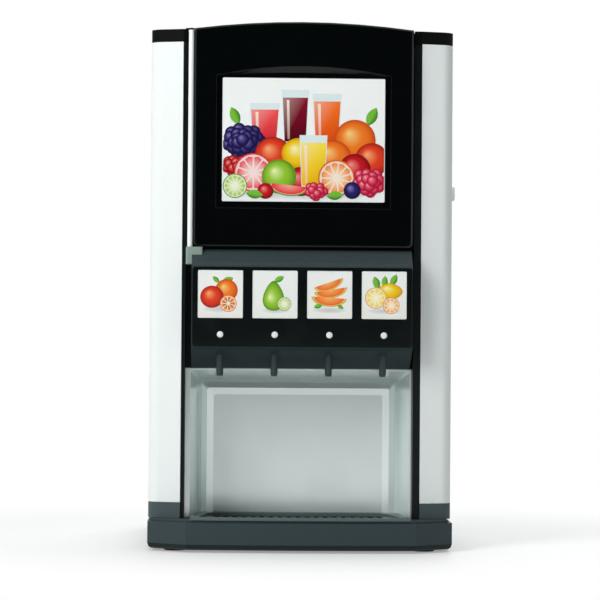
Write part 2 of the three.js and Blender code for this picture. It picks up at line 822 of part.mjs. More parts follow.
function frontFrame() {
  const half = frameWidth / 2;
  const plateY = [frameFrontY, frameRearY];
  const throughY = [frameFrontY - overrun, frameRearY + overrun];
  const top = lidBottom - seat;
  const cavityHalf = cavityFrontWidth / 2 + pocketSheet + boltClearance;
  const plate = block([-half, half], plateY, [deckTop + seat, top]);
  const stileY = [stileFrontY, frameFrontY + frameThickness / 2];
  const rightStile = block([stileInnerRightX, stileOuterX], stileY, [deckTop + seat, top]);
  const leftStile = block([-stileOuterX, stileInnerLeftX], stileY, [deckTop + seat, top]);
  const cold = block([-coldWidth / 2, coldWidth / 2], throughY, [coldFloorZ, coldTopZ]);
  const pumpZoneZ = [pumpZoneBottomZ, deckSheetTop - moulding];
  const pumps = block([-pumpZoneWidth / 2, pumpZoneWidth / 2], throughY, pumpZoneZ);
  const cavity = block([-cavityHalf, cavityHalf], throughY, [plinthTop, cavityFlangeTopZ + boltClearance]);
  const feet = [-1, 1].map((side) => {
    const span = [side * (stileOuterX + seat), side * (half + overrun)].sort((p, q) => p - q);
    return block(span, throughY, [plinthTop, blockTop + seat]);
  });
  return cut(union([plate, rightStile, leftStile]), [cold, pumps, cavity, ...feet]);
}

function insulatedCabinet() {
  const cabinetZ = [deckSheetTop + seat, coldTopZ + cabinetRoof];
  const shell = block([-cabinetHalfWidth, cabinetHalfWidth], [cabinetFrontY, cabinetRearY], cabinetZ);
  const spaceY = [cabinetFrontY - overrun, coldRearY];
  const space = block([-coldWidth / 2, coldWidth / 2], spaceY, [coldFloorZ, coldTopZ]);
  const rails = row(flavourCount - 1, containerPitch).map(({ x }) => {
    const railX = [x - railThickness / 2, x + railThickness / 2];
    return block(railX, [spoutY, coldRearY], [coldFloorZ - railThickness, coldFloorZ + railHeight]);
  });
  const spouts = row(flavourCount, containerPitch).map(({ x }) => {
    return rod("z", spoutRadius + boltClearance, [deckSheetTop - overrun, coldFloorZ + overrun], [x, spoutY]);
  });
  return cut(union([shell.subtract(space), ...rails]), spouts);
}

function chassis() {
  const length = [cabinetFrontY, chassisRearY];
  const outer = block([-chassisHalfWidth, chassisHalfWidth], length, [deckTop + seat, deckSheetTop]);
  const inner = block([steel - chassisHalfWidth, chassisHalfWidth - steel],
    [cabinetFrontY - overrun, chassisRearY + overrun], [deckTop - overrun, deckSheetTop - steel]);
  const flanges = [-1, 1].map((side) => {
    const span = [side * (chassisHalfWidth - steel), side * (chassisHalfWidth + chassisFlange)];
    return block(span.sort((p, q) => p - q), length, [deckTop + seat, deckTop + seat + steel]);
  });
  const spouts = row(flavourCount, containerPitch).map(({ x }) => {
    return rod("z", spoutRadius + boltClearance, [deckSheetTop - overrun, deckSheetTop + overrun], [x, spoutY]);
  });
  return cut(union([outer.subtract(inner), ...flanges]), spouts);
}

// Side profile of the dispensing head up to the given rear: top, sloping ledge, button face and sloping chin
function headProfile(rear) {
  return outline([
    [rear, headTopZ],
    [headTopY, headTopZ, headEdge],
    [headFrontY, headFrontTopZ, headEdge],
    [headFrontY, headFrontBottomZ, headEdge],
    [headChinY, headChinZ],
    [rear, headChinZ],
  ]);
}

function dispenseHead() {
  const half = headWidth / 2;
  const innerHalf = half - moulding;
  const outer = prism("x", headProfile(frameFrontY - seat), [-half, half]);
  const inner = prism("x", inset(headProfile(frameFrontY + 2 * overrun), moulding), [-innerHalf, innerHalf]);
  const bossZ = [headChinZ, nozzleBossTopZ];
  const bosses = row(flavourCount, flavourPitch).map(({ x }) => {
    return rod("z", nozzleBossRadius, bossZ, [x, nozzleY]).intersect(outer);
  });
  const nozzleWays = row(flavourCount, flavourPitch).map(({ x }) => {
    return rod("z", nozzleRadius + seat, [headChinZ - overrun, nozzleBossTopZ + overrun], [x, nozzleY]);
  });
  const buttonWays = row(flavourCount, flavourPitch).map(({ x }) => {
    return rod("y", buttonRadius + seat, [headFrontY - overrun, headInnerY + overrun], [x, buttonCentreZ]);
  });
  const standoffs = [-1, 1].map((side) => {
    const x = side * flavourPitch;
    return rod("y", standoffRadius, [headInnerY - moulding / 2, boardFrontY() - seat], [x, buttonCentreZ]);
  });
  const notchZ = [hingeBlockBottomZ() - seat, headTopZ + overrun];
  const hingeNotch = block([-half - overrun, hingeBlockRightX + seat],
    [hingeBlockFrontY - seat, stileFrontY + seat], notchZ);
  const notchWall = block([-half, hingeBlockRightX + seat + moulding],
    [hingeBlockFrontY - seat - moulding, stileFrontY + seat + moulding],
    [hingeBlockBottomZ() - seat - moulding, headTopZ]).intersect(outer);
  const shell = outer.subtract(inner);
  return cut(union([shell, ...bosses, ...standoffs, notchWall]), [...nozzleWays, ...buttonWays, hingeNotch]);
}

// Front face of the control board, just behind the pressed skirts of the buttons
function boardFrontY() {
  return headInnerY + seat + buttonSkirt + buttonTravel + seat + switchSize / 2;
}

function hingeBlockBottomZ() {
  return doorBottomZ - seat - hingeBlockHeight;
}

function fascia() {
  const half = headWidth / 2 - fasciaMargin;
  const upright = [headFrontBottomZ + fasciaMargin, headFrontTopZ - fasciaMargin];
  const body = prism("y", roundedBox([-half, half], upright, fasciaRadius), [fasciaFrontY, fasciaRearY]);
  const through = [fasciaFrontY - overrun, fasciaRearY + overrun];
  const cuts = row(flavourCount, flavourPitch).flatMap(({ x }) => [
    prism("y", cardOutline(x, cardCentreZ, seat), through),
    rod("y", buttonRadius + seat, through, [x, buttonCentreZ]),
  ]);
  return cut(body, cuts);
}

function cardOutline(x, z, margin) {
  const [halfX, halfZ] = [cardWidth / 2 + margin, cardHeight / 2 + margin];
  return roundedBox([x - halfX, x + halfX], [z - halfZ, z + halfZ], cardRadius);
}

function flavourCard() {
  return prism("y", cardOutline(0, 0, 0), [-cardThickness, 0]);
}

// A push button about its own axis, with its rest face at y = 0 and a skirt that keeps it captive
function button() {
  const skirtY = headInnerY + seat - (fasciaFrontY - buttonProud);
  return turned("y", [
    [0, 0],
    [buttonRadius - buttonDome, 0],
    [buttonRadius, buttonDome],
    [buttonRadius, skirtY],
    [buttonSkirtRadius, skirtY],
    [buttonSkirtRadius, skirtY + buttonSkirt],
    [0, skirtY + buttonSkirt],
  ], [0, 0]);
}

function controlBoard() {
  const front = boardFrontY();
  const top = buttonCentreZ + boardHeight - boardDropBelowButtons;
  const plate = block([-boardWidth / 2, boardWidth / 2], [front, front + boardThickness],
    [buttonCentreZ - boardDropBelowButtons, top]);
  const half = switchSize / 2;
  const switchY = [front - half, front + boardThickness / 2];
  const switches = row(flavourCount, flavourPitch).map(({ x }) => {
    return block([x - half, x + half], switchY, [buttonCentreZ - half, buttonCentreZ + half]);
  });
  return union([plate, ...switches]);
}

// A nozzle about its own axis, with its tip at z = 0: tip, stem, collar on the boss and a barb for the tube
function nozzle() {
  const collarZ = nozzleBossTopZ + seat - nozzleTipZ;
  const barbZ = collarZ + nozzleCollarHeight;
  return turned("z", [
    [nozzleBore, 0],
    [nozzleTipRadius, 0],
    [nozzleRadius, nozzleTaper],
    [nozzleRadius, collarZ],
    [nozzleCollarRadius, collarZ],
    [nozzleCollarRadius, barbZ],
    [nozzleBarbRadius, barbZ],
    [nozzleBarbRadius, barbZ + nozzleBarbHeight],
    [nozzleBore, barbZ + nozzleBarbHeight],
    [nozzleBore, 0],
  ], [0, 0]);
}

// A rotor turns beside its nozzle, so that the tube leaves the loop straight above the nozzle.
function pumpPlaces() {
  return row(flavourCount, flavourPitch).map(({ number, x }) => ({ number, x: x - tubeTurnRadius }));
}

// One moulding with a raceway for each pump: a half round wall on a plate, with skirts back to the frame
function pumpDeck() {
  const half = headWidth / 2 - moulding - seat;
  const plateY = [pumpPlateFrontY, pumpPlateRearY];
  const plateZ = [pumpPlateBottomZ, pumpPlateTopZ];
  const plate = block([-half, half], plateY, plateZ);
  const skirts = [-1, 1].map((side) => {
    const span = [side * (half - moulding), side * half].sort((p, q) => p - q);
    return block(span, [pumpPlateFrontY, frameFrontY - seat], plateZ);
  });
  const raceY = [rotorFrontY + raceFrontMargin, pumpPlateFrontY + pumpPlate / 2];
  const races = pumpPlaces().map(({ x }) => {
    const outer = rod("y", raceRadius + raceWall, raceY, [x, pumpCentreZ], roundSides);
    const inner = rod("y", raceRadius, [raceY[0] - overrun, pumpPlateFrontY], [x, pumpCentreZ], roundSides);
    const reach = raceRadius + raceWall + overrun;
    const openSide = block([x, x + reach], [raceY[0] - overrun, pumpPlateFrontY],
      [pumpCentreZ - reach, pumpCentreZ + reach]);
    return cut(outer, [inner, openSide]);
  });
  const shaftY = [pumpPlateFrontY - overrun, pumpPlateRearY + overrun];
  const shaftWays = pumpPlaces().map(({ x }) => {
    return rod("y", shaftRadius + boltClearance, shaftY, [x, pumpCentreZ]);
  });
  return cut(union([plate, ...skirts, ...races]), shaftWays);
}

// A gear motor about its own axis, with its mounting face at y = 0 and its shaft in front
function pumpMotor() {
  const half = motorGearWidth / 2;
  const gear = block([-half, half], [0, motorGearLength], [-half, half]);
  const can = rod("y", motorCanRadius, [motorGearLength - seat, motorGearLength + motorCanLength], [0, 0]);
  const shaftEnd = rotorFrontY + rotorDisc + seat - (pumpPlateRearY + seat);
  const shaft = rod("y", shaftRadius, [shaftEnd, seat], [0, 0], pinSides);
  return union([gear, can, shaft]);
}

// A rotor about its own axis: rollers between two discs on a hub that the motor shaft enters from behind
function pumpRotor() {
  const orbit = rollerReach - rollerRadius;
  const front = rod("y", rotorDiscRadius, [0, rotorDisc], [0, 0]);
  const rear = rod("y", rotorDiscRadius, [rotorLength - rotorDisc, rotorLength], [0, 0]);
  const hub = rod("y", rotorHubRadius, [rotorDisc / 2, rotorLength - rotorDisc / 2], [0, 0], pinSides);
  const rollers = Array.from({ length: rollerCount }, (unused, i) => {
    const angle = Math.PI / 2 + (i * 2 * Math.PI) / rollerCount;
    const place = [orbit * Math.cos(angle), orbit * Math.sin(angle)];
    return rod("y", rollerRadius, [rotorDisc / 2, rotorLength - rotorDisc / 2], place, pinSides);
  });
  const bore = rod("y", shaftBore, [rotorDisc, rotorLength + overrun], [0, 0], pinSides);
  return cut(union([front, rear, hub, ...rollers]), [bore]);
}

// A juice container about its spout: the carton stands on z = 0 and its spout hangs below.
function juiceContainer() {
  const front = -spoutFromFront;
  const rear = containerDepth - spoutFromFront;
  const profile = outline([
    [front, 0, containerRadius],
    [rear, 0, containerRadius],
    [rear, containerHeight, containerRadius],
    [front + containerShoulderDepth, containerHeight, containerRadius],
    [front, containerHeight - containerShoulder, containerRadius],
  ]);
  const half = containerWidth / 2;
  const body = loft("x", [
    [inset(profile, containerEdge), -half],
    [profile, containerEdge - half],
    [profile, half - containerEdge],
    [inset(profile, containerEdge), half],
  ]);
  const gripY = [front - overrun, front + gripDepth];
  const grip = block([-gripWidth / 2, gripWidth / 2], gripY, [gripZ, gripZ + gripHeight]);
  const capZ = [containerHeight - seat, containerHeight + capHeight];
  const cap = rod("z", capRadius, capZ, [0, rear - capFromRear], roundSides);
  const spout = rod("z", spoutRadius, [-spoutDrop, seat], [0, 0]);
  const bore = rod("z", spoutBoreRadius, [-spoutDrop - overrun, 0], [0, 0]);
  return cut(union([body.subtract(grip), cap, spout]), [bore]);
}

// The middle line of a round turn in the plane of a pump, as points [x, z]
function turn([x, z], radius, from, to) {
  return Array.from({ length: 2 * cornerSteps + 1 }, (unused, i) => {
    const angle = from + ((to - from) * i) / (2 * cornerSteps);
    return [x + radius * Math.cos(angle), z + radius * Math.sin(angle)];
  });
}

// A juice tube about its nozzle: down from the spout beside it, forward, round the pump and to the barb
function juiceTube(spoutX) {
  const topZ = coldFloorZ - spoutDrop;
  const upperZ = pumpCentreZ + tubeLoopRadius + tubeTurnRadius;
  const lowerZ = pumpCentreZ - tubeLoopRadius - tubeTurnRadius;
  const bendY = nozzleY + tubeBendZ - upperZ;
  const drop = new THREE.QuadraticBezierCurve3(
    new THREE.Vector3(spoutX, spoutY, topZ - tubeExitDrop),
    new THREE.Vector3(spoutX, spoutY, tubeBendZ),
    new THREE.Vector3(spoutX, spoutY - tubeBendDepth, tubeBendZ),
  );
  const bend = new THREE.QuadraticBezierCurve3(
    new THREE.Vector3(0, bendY, tubeBendZ),
    new THREE.Vector3(0, nozzleY, tubeBendZ),
    new THREE.Vector3(0, nozzleY, upperZ),
  );
  const loop = [
    ...turn([-tubeTurnRadius, upperZ], tubeTurnRadius, 0, -Math.PI / 2).slice(1),
    ...turn([-tubeTurnRadius, pumpCentreZ], tubeLoopRadius, Math.PI / 2, (3 * Math.PI) / 2).slice(1),
    ...turn([-tubeTurnRadius, lowerZ], tubeTurnRadius, Math.PI / 2, 0).slice(1),
  ];
  const way = new THREE.CatmullRomCurve3([
    new THREE.Vector3(spoutX, spoutY, topZ),
    ...drop.getPoints(cornerSteps),
    ...bend.getPoints(cornerSteps),
    ...loop.map(([x, z]) => new THREE.Vector3(x, nozzleY, z)),
    new THREE.Vector3(0, nozzleY, nozzleBarbTopZ + seat),
  ]);
  const section = new THREE.Shape(circle(tubeRadius, tubeSides));
  return solid(new THREE.ExtrudeGeometry(section, { steps: tubeSteps, extrudePath: way, bevelEnabled: false }));
}

// Sections of the cup cavity from its mouth to its rounded back, grown by a wall thickness
function cavitySections(wall) {
  const [frontHalf, backHalf] = [cavityFrontWidth / 2 + wall, cavityBackWidth / 2 + wall];
  const backY = cavityBackY + wall;
  const radius = cavityBackRadius + wall;
  const bottom = deckTop - overrun;
  const section = (y, turnInset) => {
    const share = (y - cavityFrontY) / (backY - cavityFrontY);
    const half = THREE.MathUtils.lerp(frontHalf, backHalf, share) - turnInset;
    const top = THREE.MathUtils.lerp(cavityTopFrontZ, cavityTopBackZ, share) + wall - turnInset;
    return [roundedBox([-half, half], [bottom, top], cavityCornerRadius), y];
  };
  const rounds = Array.from({ length: cornerSteps + 1 }, (unused, i) => {
    const angle = (i * Math.PI) / 2 / cornerSteps;
    return section(backY - radius * (1 - Math.sin(angle)), radius * (1 - Math.cos(angle)));
  });
  return [section(cavityFrontY, 0), ...rounds];
}

function splashPanel() {
  const outer = loft("y", cavitySections(pocketSheet));
  const inner = loft("y", cavitySections(0));
  const mouth = prism("y", cavitySections(0)[0][0], [cavityFrontY - overrun, cavityFrontY + weld]);
  const flangeX = [stileInnerLeftX + seat, stileInnerRightX - seat];
  const flangeY = [cavityFrontY, cavityFrontY + pocketSheet];
  const flange = block(flangeX, flangeY, [deckTop + seat, cavityFlangeTopZ]);
  const below = block([-halfWidth, halfWidth], [frontY, rearY], [trayFloorZ, deckTop + seat]);
  return cut(outer.add(flange), [inner, mouth, below]);
}

function dripTray() {
  const edge = trayOutline();
  const rimBottom = deckTop + seat;
  const rimTop = rimBottom + trayRimHeight;
  const grilleTop = rimTop - grilleSunk;
  const wellInset = trayOverhang + trayWall;
  const rim = prism("z", edge, [rimBottom, rimTop]);
  const lipBand = prism("z", edge, [rimBottom, rimBottom + trayFrontLip]);
  const lipFront = block([-halfWidth, halfWidth], [frontY, stileFrontY - seat], [rimBottom, blockTop]);
  const lip = lipBand.intersect(lipFront);
  const body = prism("z", inset(edge, trayOverhang), [trayFloorZ + seat, rimTop]);
  const well = loft("z", [
    [inset(edge, wellInset), grilleTop - grilleThickness - seat],
    [inset(edge, wellInset), rimBottom + trayWall / 2],
    [inset(edge, trayLipWidth), rimTop],
    [inset(edge, trayLipWidth), rimTop + overrun],
  ]);
  const sump = prism("z", inset(edge, wellInset + grilleLedge), [trayFloorZ + seat + trayWall, rimTop]);
  return cut(union([rim, lip, body]), [well, sump]);
}

function dripGrille() {
  const edge = inset(trayOutline(), trayOverhang + trayWall + grilleGap);
  const top = deckTop + seat + trayRimHeight - grilleSunk;
  const plate = prism("z", edge, [top - grilleThickness, top]);
  const frontLine = shoulderY + trayFrontSetback + trayOverhang + trayWall + slotMargin;
  const backLine = cavityBackY - traySideGap - trayOverhang - trayWall - slotMargin - cavityBackRadius / 2;
  const backHalf = cavityBackWidth / 2 - traySideGap - trayOverhang - trayWall - slotMargin;
  const length = (backLine - frontLine) / slotRows;
  const count = 2 * Math.floor(backHalf / slotPitch) + 1;
  const slots = row(count, slotPitch).flatMap(({ x }) => row(slotRows, length).map(({ x: along }) => {
    const middle = (frontLine + backLine) / 2 + along;
    const half = (length - slotMargin) / 2;
    return block([x - slotWidth / 2, x + slotWidth / 2], [middle - half, middle + half],
      [top - grilleThickness - overrun, top + overrun]);
  }));
  return plate.subtract(union(slots));
}

// Front outline of the door with its crowned top edge, less an even margin all round
function doorOutline(margin) {
  const arch = bow([doorRightX, lidTop], [doorLeftX, lidTop], archRise);
  const sides = path([
    [doorLeftX, lidTop],
    [doorLeftX, doorBottomZ, doorCornerRadius],
    [doorRightX, doorBottomZ, doorCornerRadius],
    [doorRightX, lidTop],
  ]);
  return inset([...sides.slice(1, -1), ...arch], margin);
}

function pictureRecess(rise, y) {
  const half = pictureRecessWidth / 2;
  const middle = (doorLeftX + doorRightX) / 2;
  const arch = bow([middle + half, pictureRecessShoulderZ], [middle - half, pictureRecessShoulderZ], rise);
  const sill = [-half, half].map((x) => new THREE.Vector2(middle + x, pictureRecessBottomZ));
  return [[...sill, ...arch], y];
}

function doorShell() {
  const outer = loft("y", [
    [doorOutline(doorEdge), doorFrontY],
    [doorOutline(doorEdge * undercutRoundShare), doorFrontY + doorEdge * undercutRoundShare],
    [doorOutline(0), doorFrontY + doorEdge],
    [doorOutline(0), doorRearY],
  ]);
  const hollow = prism("y", doorOutline(moulding), [doorFrontY + moulding, doorRearY + overrun]);
  const floorY = doorFrontY + pictureRecessDepth;
  const [recessEdge] = pictureRecess(browFrontRise, doorFrontY);
  const well = prism("y", inset(recessEdge, -moulding), [doorFrontY + moulding / 2, floorY + moulding]);
  const recess = loft("y", [
    pictureRecess(browFrontRise, doorFrontY - weld),
    pictureRecess(browBackRise, floorY),
  ]);
  return outer.subtract(hollow).add(well).subtract(recess);
}

function doorLiner() {
  const front = doorRearY + seat;
  const rear = front + linerThickness;
  const plate = prism("y", doorOutline(0), [front, rear]);
  const rib = prism("y", doorOutline(moulding + seat), [front - linerRibDepth, front + linerThickness / 2]);
  const ribSpace = prism("y", doorOutline(2 * moulding + seat), [front - linerRibDepth - overrun, front]);
  const plugX = [linerPlugMargin - coldWidth / 2, coldWidth / 2 - linerPlugMargin];
  const plugZ = [coldFloorZ + linerPlugMargin, coldTopZ - linerPlugMargin];
  const plugEdge = roundedBox(plugX, plugZ, linerPlugRadius);
  const plug = prism("y", plugEdge, [rear - linerThickness / 2, rear + linerPlugDepth]);
  const dishY = [front - overrun, rear + linerPlugDepth - linerThickness];
  const dish = prism("y", inset(plugEdge, moulding), dishY);
  return cut(union([plate, rib.subtract(ribSpace), plug]), [dish]);
}

function doorGasket() {
  const front = doorRearY + 2 * seat + linerThickness;
  const edge = roundedBox(
    [doorLeftX + gasketInset, doorRightX - gasketInset],
    [doorBottomZ + gasketInset, lidBottom - gasketInset],
    gasketRadius,
  );
  const rear = frameFrontY - seat;
  const space = prism("y", inset(edge, gasketWidth), [front - overrun, rear + overrun]);
  return prism("y", edge, [front, rear]).subtract(space);
}

// Round aluminium profile along the hinge side, with a pin bore in each end
function hingeProfile() {
  const top = lidTop - sheet - seat;
  const body = rod("z", hingeProfileRadius, [doorBottomZ, top], [hingeX, hingeY]);
  const ends = [
    [doorBottomZ - overrun, doorBottomZ + hingePinLength + seat],
    [top - hingePinLength - seat, top + overrun],
  ];
  return cut(body, ends.map((end) => rod("z", hingePinRadius + seat, end, [hingeX, hingeY], pinSides)));
}

// Lower hinge: a block in the corner of the ledge on an arm from the front frame, with the lower pin
function hingeBlock() {
  const top = doorBottomZ - seat;
  const left = stileInnerLeftX + seat;
  const edge = outline([
    [left, hingeBlockFrontY, doorEdge],
    [hingeBlockRightX, hingeBlockFrontY, doorEdge],
    [hingeBlockRightX, stileFrontY, doorEdge],
    [left + hingeArmWidth, stileFrontY],
    [left + hingeArmWidth, frameFrontY - seat],
    [left, frameFrontY - seat],
  ]);
  const body = prism("z", edge, [hingeBlockBottomZ(), top]);
  const pin = rod("z", hingePinRadius, [top - seat, top + hingePinLength], [hingeX, hingeY], pinSides);
  return body.add(pin);
}

function picturePanel() {
  const [halfX, halfZ] = [pictureWidth / 2, pictureHeight / 2];
  return prism("y", roundedBox([-halfX, halfX], [-halfZ, halfZ], cardRadius), [-pictureThickness, 0]);
}

// Key barrel about its own axis, with the back of its head at x = 0 and its cam at the inner end
function keyBarrel() {
  const head = rod("x", keyHeadRadius, [0, keyHeadHeight], [0, 0], roundSides);
  const body = rod("x", keyBodyRadius, [-keyBodyLength, seat], [0, 0]);
  const camX = [-keyBodyLength, keyCamThickness - keyBodyLength];
  const cam = block(camX, [-keyCamWidth / 2, keyCamWidth / 2], [-keyCamLength, 0]);
  const slot = block([keyHeadHeight - keySlotDepth, keyHeadHeight + overrun],
    [-keySlotWidth / 2, keySlotWidth / 2], [-keySlotLength / 2, keySlotLength / 2]);
  return cut(union([head, body, cam]), [slot]);
}

function rearPanel() {
  const half = halfWidth - sheet - panelRearRadius;
  const y = [rearPanelFrontY, rearPanelFrontY + rearPanelSheet];
  const throughY = [y[0] - overrun, y[1] + overrun];
  const plate = block([-half, half], y, [deckTop + seat, lidBottom - seat]);
  const louvres = [-1, 1].flatMap((side) => row(louvreRows, louvrePitch).map(({ number }) => {
    const z = louvreFirstZ + (number - 1) * louvrePitch;
    const span = [side * louvreFromMiddle, side * (half - louvreFromEdge)].sort((p, q) => p - q);
    return block(span, throughY, [z, z + louvreHeight]);
  }));
  const [halfX, halfZ] = [inletShellWidth / 2 + seat, inletShellHeight / 2 + seat];
  const inletWay = block([inletCentreX - halfX, inletCentreX + halfX], throughY,
    [inletCentreZ - halfZ, inletCentreZ + halfZ]);
  return cut(plate, [...louvres, inletWay]);
}

// Mains inlet about the middle of its plate, whose inner face is at y = 0: a shell with three pins
function serviceInlet() {
  const [plateX, plateZ] = [inletPlateWidth / 2, inletPlateHeight / 2];
  const [shellX, shellZ] = [inletShellWidth / 2, inletShellHeight / 2];
  const plate = prism("y", roundedBox([-plateX, plateX], [-plateZ, plateZ], cardRadius), [0, rearPanelSheet]);
  const shell = block([-shellX, shellX], [-inletShellDepth, rearPanelSheet / 2], [-shellZ, shellZ]);
  const socket = block([inletWall - shellX, shellX - inletWall], [inletWall - inletShellDepth, overrun],
    [inletWall - shellZ, shellZ - inletWall]);
  const pinY = [inletWall / 2 - inletShellDepth, -inletWall];
  const pins = [-1, 0, 1].map((place) => {
    const x = place * inletPinPitch;
    const z = place ? -inletPinThickness : inletPinThickness;
    return block([x - inletPinThickness / 2, x + inletPinThickness / 2], pinY,
      [z - inletPinWidth / 2, z + inletPinWidth / 2]);
  });
  return union([cut(plate.add(shell), [socket]), ...pins]);
}

// Hermetic compressor about its own axis, standing on z = 0 by a four-footed plate
function compressor() {
  const foot = compressorFootSpan / 2;
  const seamZ = compressorHeight * compressorSeamZShare;
  const shoulderRadius = compressorRadius * compressorShoulderShare;
  const rise = (compressorHeight - seamZ) * compressorShoulderShare;
  const dome = turned("z", [
    [0, 0],
    [shoulderRadius, 0],
    [compressorRadius, seamZ - rise],
    [compressorRadius, seamZ],
    [compressorRadius + moulding, seamZ],
    [compressorRadius + moulding, seamZ + moulding],
    [compressorRadius, seamZ + moulding],
    [shoulderRadius, seamZ + rise],
    [shoulderRadius * compressorSeamZShare, compressorHeight],
    [0, compressorHeight],
  ], [0, 0]);
  const plate = block([-foot, foot], [-foot, foot], [0, sheet]);
  const rails = [-1, 1].map((side) => {
    const y = [side * foot, side * (foot - compressorFootHeight)].sort((p, q) => p - q);
    return block([-foot, foot], y, [0, compressorFootHeight]);
  });
  return union([dome, plate, ...rails]);
}

// Finned condenser with the shroud and the motor bracket of its fan, about the fan axis
function condenser() {
  const [halfX, halfZ] = [condenserWidth / 2, condenserHeight / 2];
  const coreY = [shroudFrontY + shroudDepth, shroudFrontY + shroudDepth + condenserDepth];
  const core = block([-halfX, halfX], coreY, [-halfZ, halfZ]);
  const finCount = Math.floor((condenserWidth - 2 * condenserEnd) / finPitch);
  const gaps = row(finCount, finPitch).map(({ x }) => {
    return block([x - finGap / 2, x + finGap / 2], [coreY[0] - shroudDepth / 2, coreY[1] + overrun],
      [condenserEnd - halfZ, halfZ - condenserEnd]);
  });
  const boxY = [shroudFrontY, coreY[0] + shroudSheet];
  const box = block([-halfX, halfX], boxY, [-halfZ, halfZ]);
  const boxSpace = block([shroudSheet - halfX, halfX - shroudSheet], [boxY[0] + shroudSheet, boxY[1] + overrun],
    [shroudSheet - halfZ, halfZ - shroudSheet]);
  const mouth = rod("y", fanRadius, [boxY[0] - overrun, boxY[0] + shroudDepth / 2], [0, 0], roundSides);
  const bracketFrontY = boxY[0] - fanMotorLength;
  const bar = block([-halfX, halfX], [bracketFrontY, bracketFrontY + fanBracketSheet],
    [-fanBracketWidth / 2, fanBracketWidth / 2]);
  const legs = [-1, 1].map((side) => {
    const span = [side * halfX, side * (halfX - fanBracketSheet)].sort((p, q) => p - q);
    return block(span, [bracketFrontY, boxY[0] + shroudSheet], [-fanBracketWidth / 2, fanBracketWidth / 2]);
  });
  const motor = rod("y", fanMotorRadius, [bracketFrontY - fanBracketSheet, boxY[0] - seat], [0, 0]);
  const shaft = rod("y", shaftRadius, [boxY[0] - 2 * seat, boxY[0] + fanHubLength / 2], [0, 0], pinSides);
  const stands = [-1, 1].map((side) => {
    const span = [side * halfX, side * (halfX - condenserLift)].sort((p, q) => p - q);
    return block(span, [boxY[0], coreY[1]], [-halfZ - condenserLift, shroudSheet - halfZ]);
  });
  const shroud = cut(box, [boxSpace, mouth]);
  return union([cut(core, gaps), shroud, bar, ...legs, motor, shaft, ...stands]);
}

// Fan rotor about its own axis, with the front face of its hub at y = 0
function fanRotor() {
  const hub = rod("y", fanHubRadius, [0, fanHubLength], [0, 0]);
  const bore = rod("y", shaftBore, [-overrun, fanHubLength / 2 + seat], [0, 0], pinSides);
  const span = fanRadius - fanTipGap;
  const blades = Array.from({ length: fanBladeCount }, (unused, i) => {
    const geometry = new THREE.BoxGeometry(fanBladeChord, fanBladeThickness, span - fanHubRadius / 2);
    geometry.rotateZ(fanBladePitch);
    geometry.translate(0, fanHubLength / 2, (span + fanHubRadius / 2) / 2);
    geometry.rotateY((i * 2 * Math.PI) / fanBladeCount);
    return solid(geometry);
  });
  return cut(union([hub, ...blades]), [bore]);
}

// Adds a named mesh to a group at a place.
function place(group, name, piece, finish, [x, y, z] = [0, 0, 0]) {
  const named = mesh(name, piece, finish);
  named.position.set(x, y, z);
  group.add(named);
}

function baseGroup() {
  const group = new THREE.Group();
  place(group, "base_pan", basePan(), "charcoal");
  const pad = foot();
  footPlaces().forEach(({ name, x, y }) => place(group, name, pad, "rubber", [x, y, 0]));
  place(group, "corner_block_left", cornerBlock(-1), "slate");
  place(group, "corner_block_right", cornerBlock(1), "slate");
  place(group, "drip_tray", dripTray(), "slate");
  place(group, "drip_grille", dripGrille(), "satinBlack");
  return group;
}

function cabinetGroup() {
  const group = new THREE.Group();
  place(group, "side_panel_left", sidePanel(-1), "white");
  place(group, "side_panel_right", sidePanel(1), "white");
  place(group, "top_lid", topLid(), "satinBlack");
  place(group, "rear_panel", rearPanel(), "steel");
  place(group, "front_frame", frontFrame(), "glossBlack");
  place(group, "chassis", chassis(), "steel");
  place(group, "insulated_cabinet", insulatedCabinet(), "liner");
  place(group, "splash_panel", splashPanel(), "steel");
  place(group, "hinge_block", hingeBlock(), "paleGreen");
  place(group, "key_barrel", keyBarrel(), "steel", [halfWidth + seat, keyY, keyZ]);
  place(group, "service_inlet", serviceInlet(), "satinBlack",
    [inletCentreX, rearPanelFrontY + rearPanelSheet + seat, inletCentreZ]);
  const carton = juiceContainer();
  row(flavourCount, containerPitch).forEach(({ number, x }) => {
    place(group, `juice_container_${number}`, carton, "juice", [x, spoutY, coldFloorZ + seat]);
  });
  return group;
}

function coolingGroup() {
  const group = new THREE.Group();
  const standZ = deckTop + seat;
  const fanZ = standZ + condenserLift + condenserHeight / 2;
  place(group, "compressor", compressor(), "satinBlack", [compressorX, compressorY, standZ]);
  place(group, "condenser", condenser(), "aluminium", [condenserX, 0, fanZ]);
  place(group, "fan_rotor", fanRotor(), "satinBlack", [condenserX, shroudFrontY + fanRunningGap, fanZ]);
  return group;
}

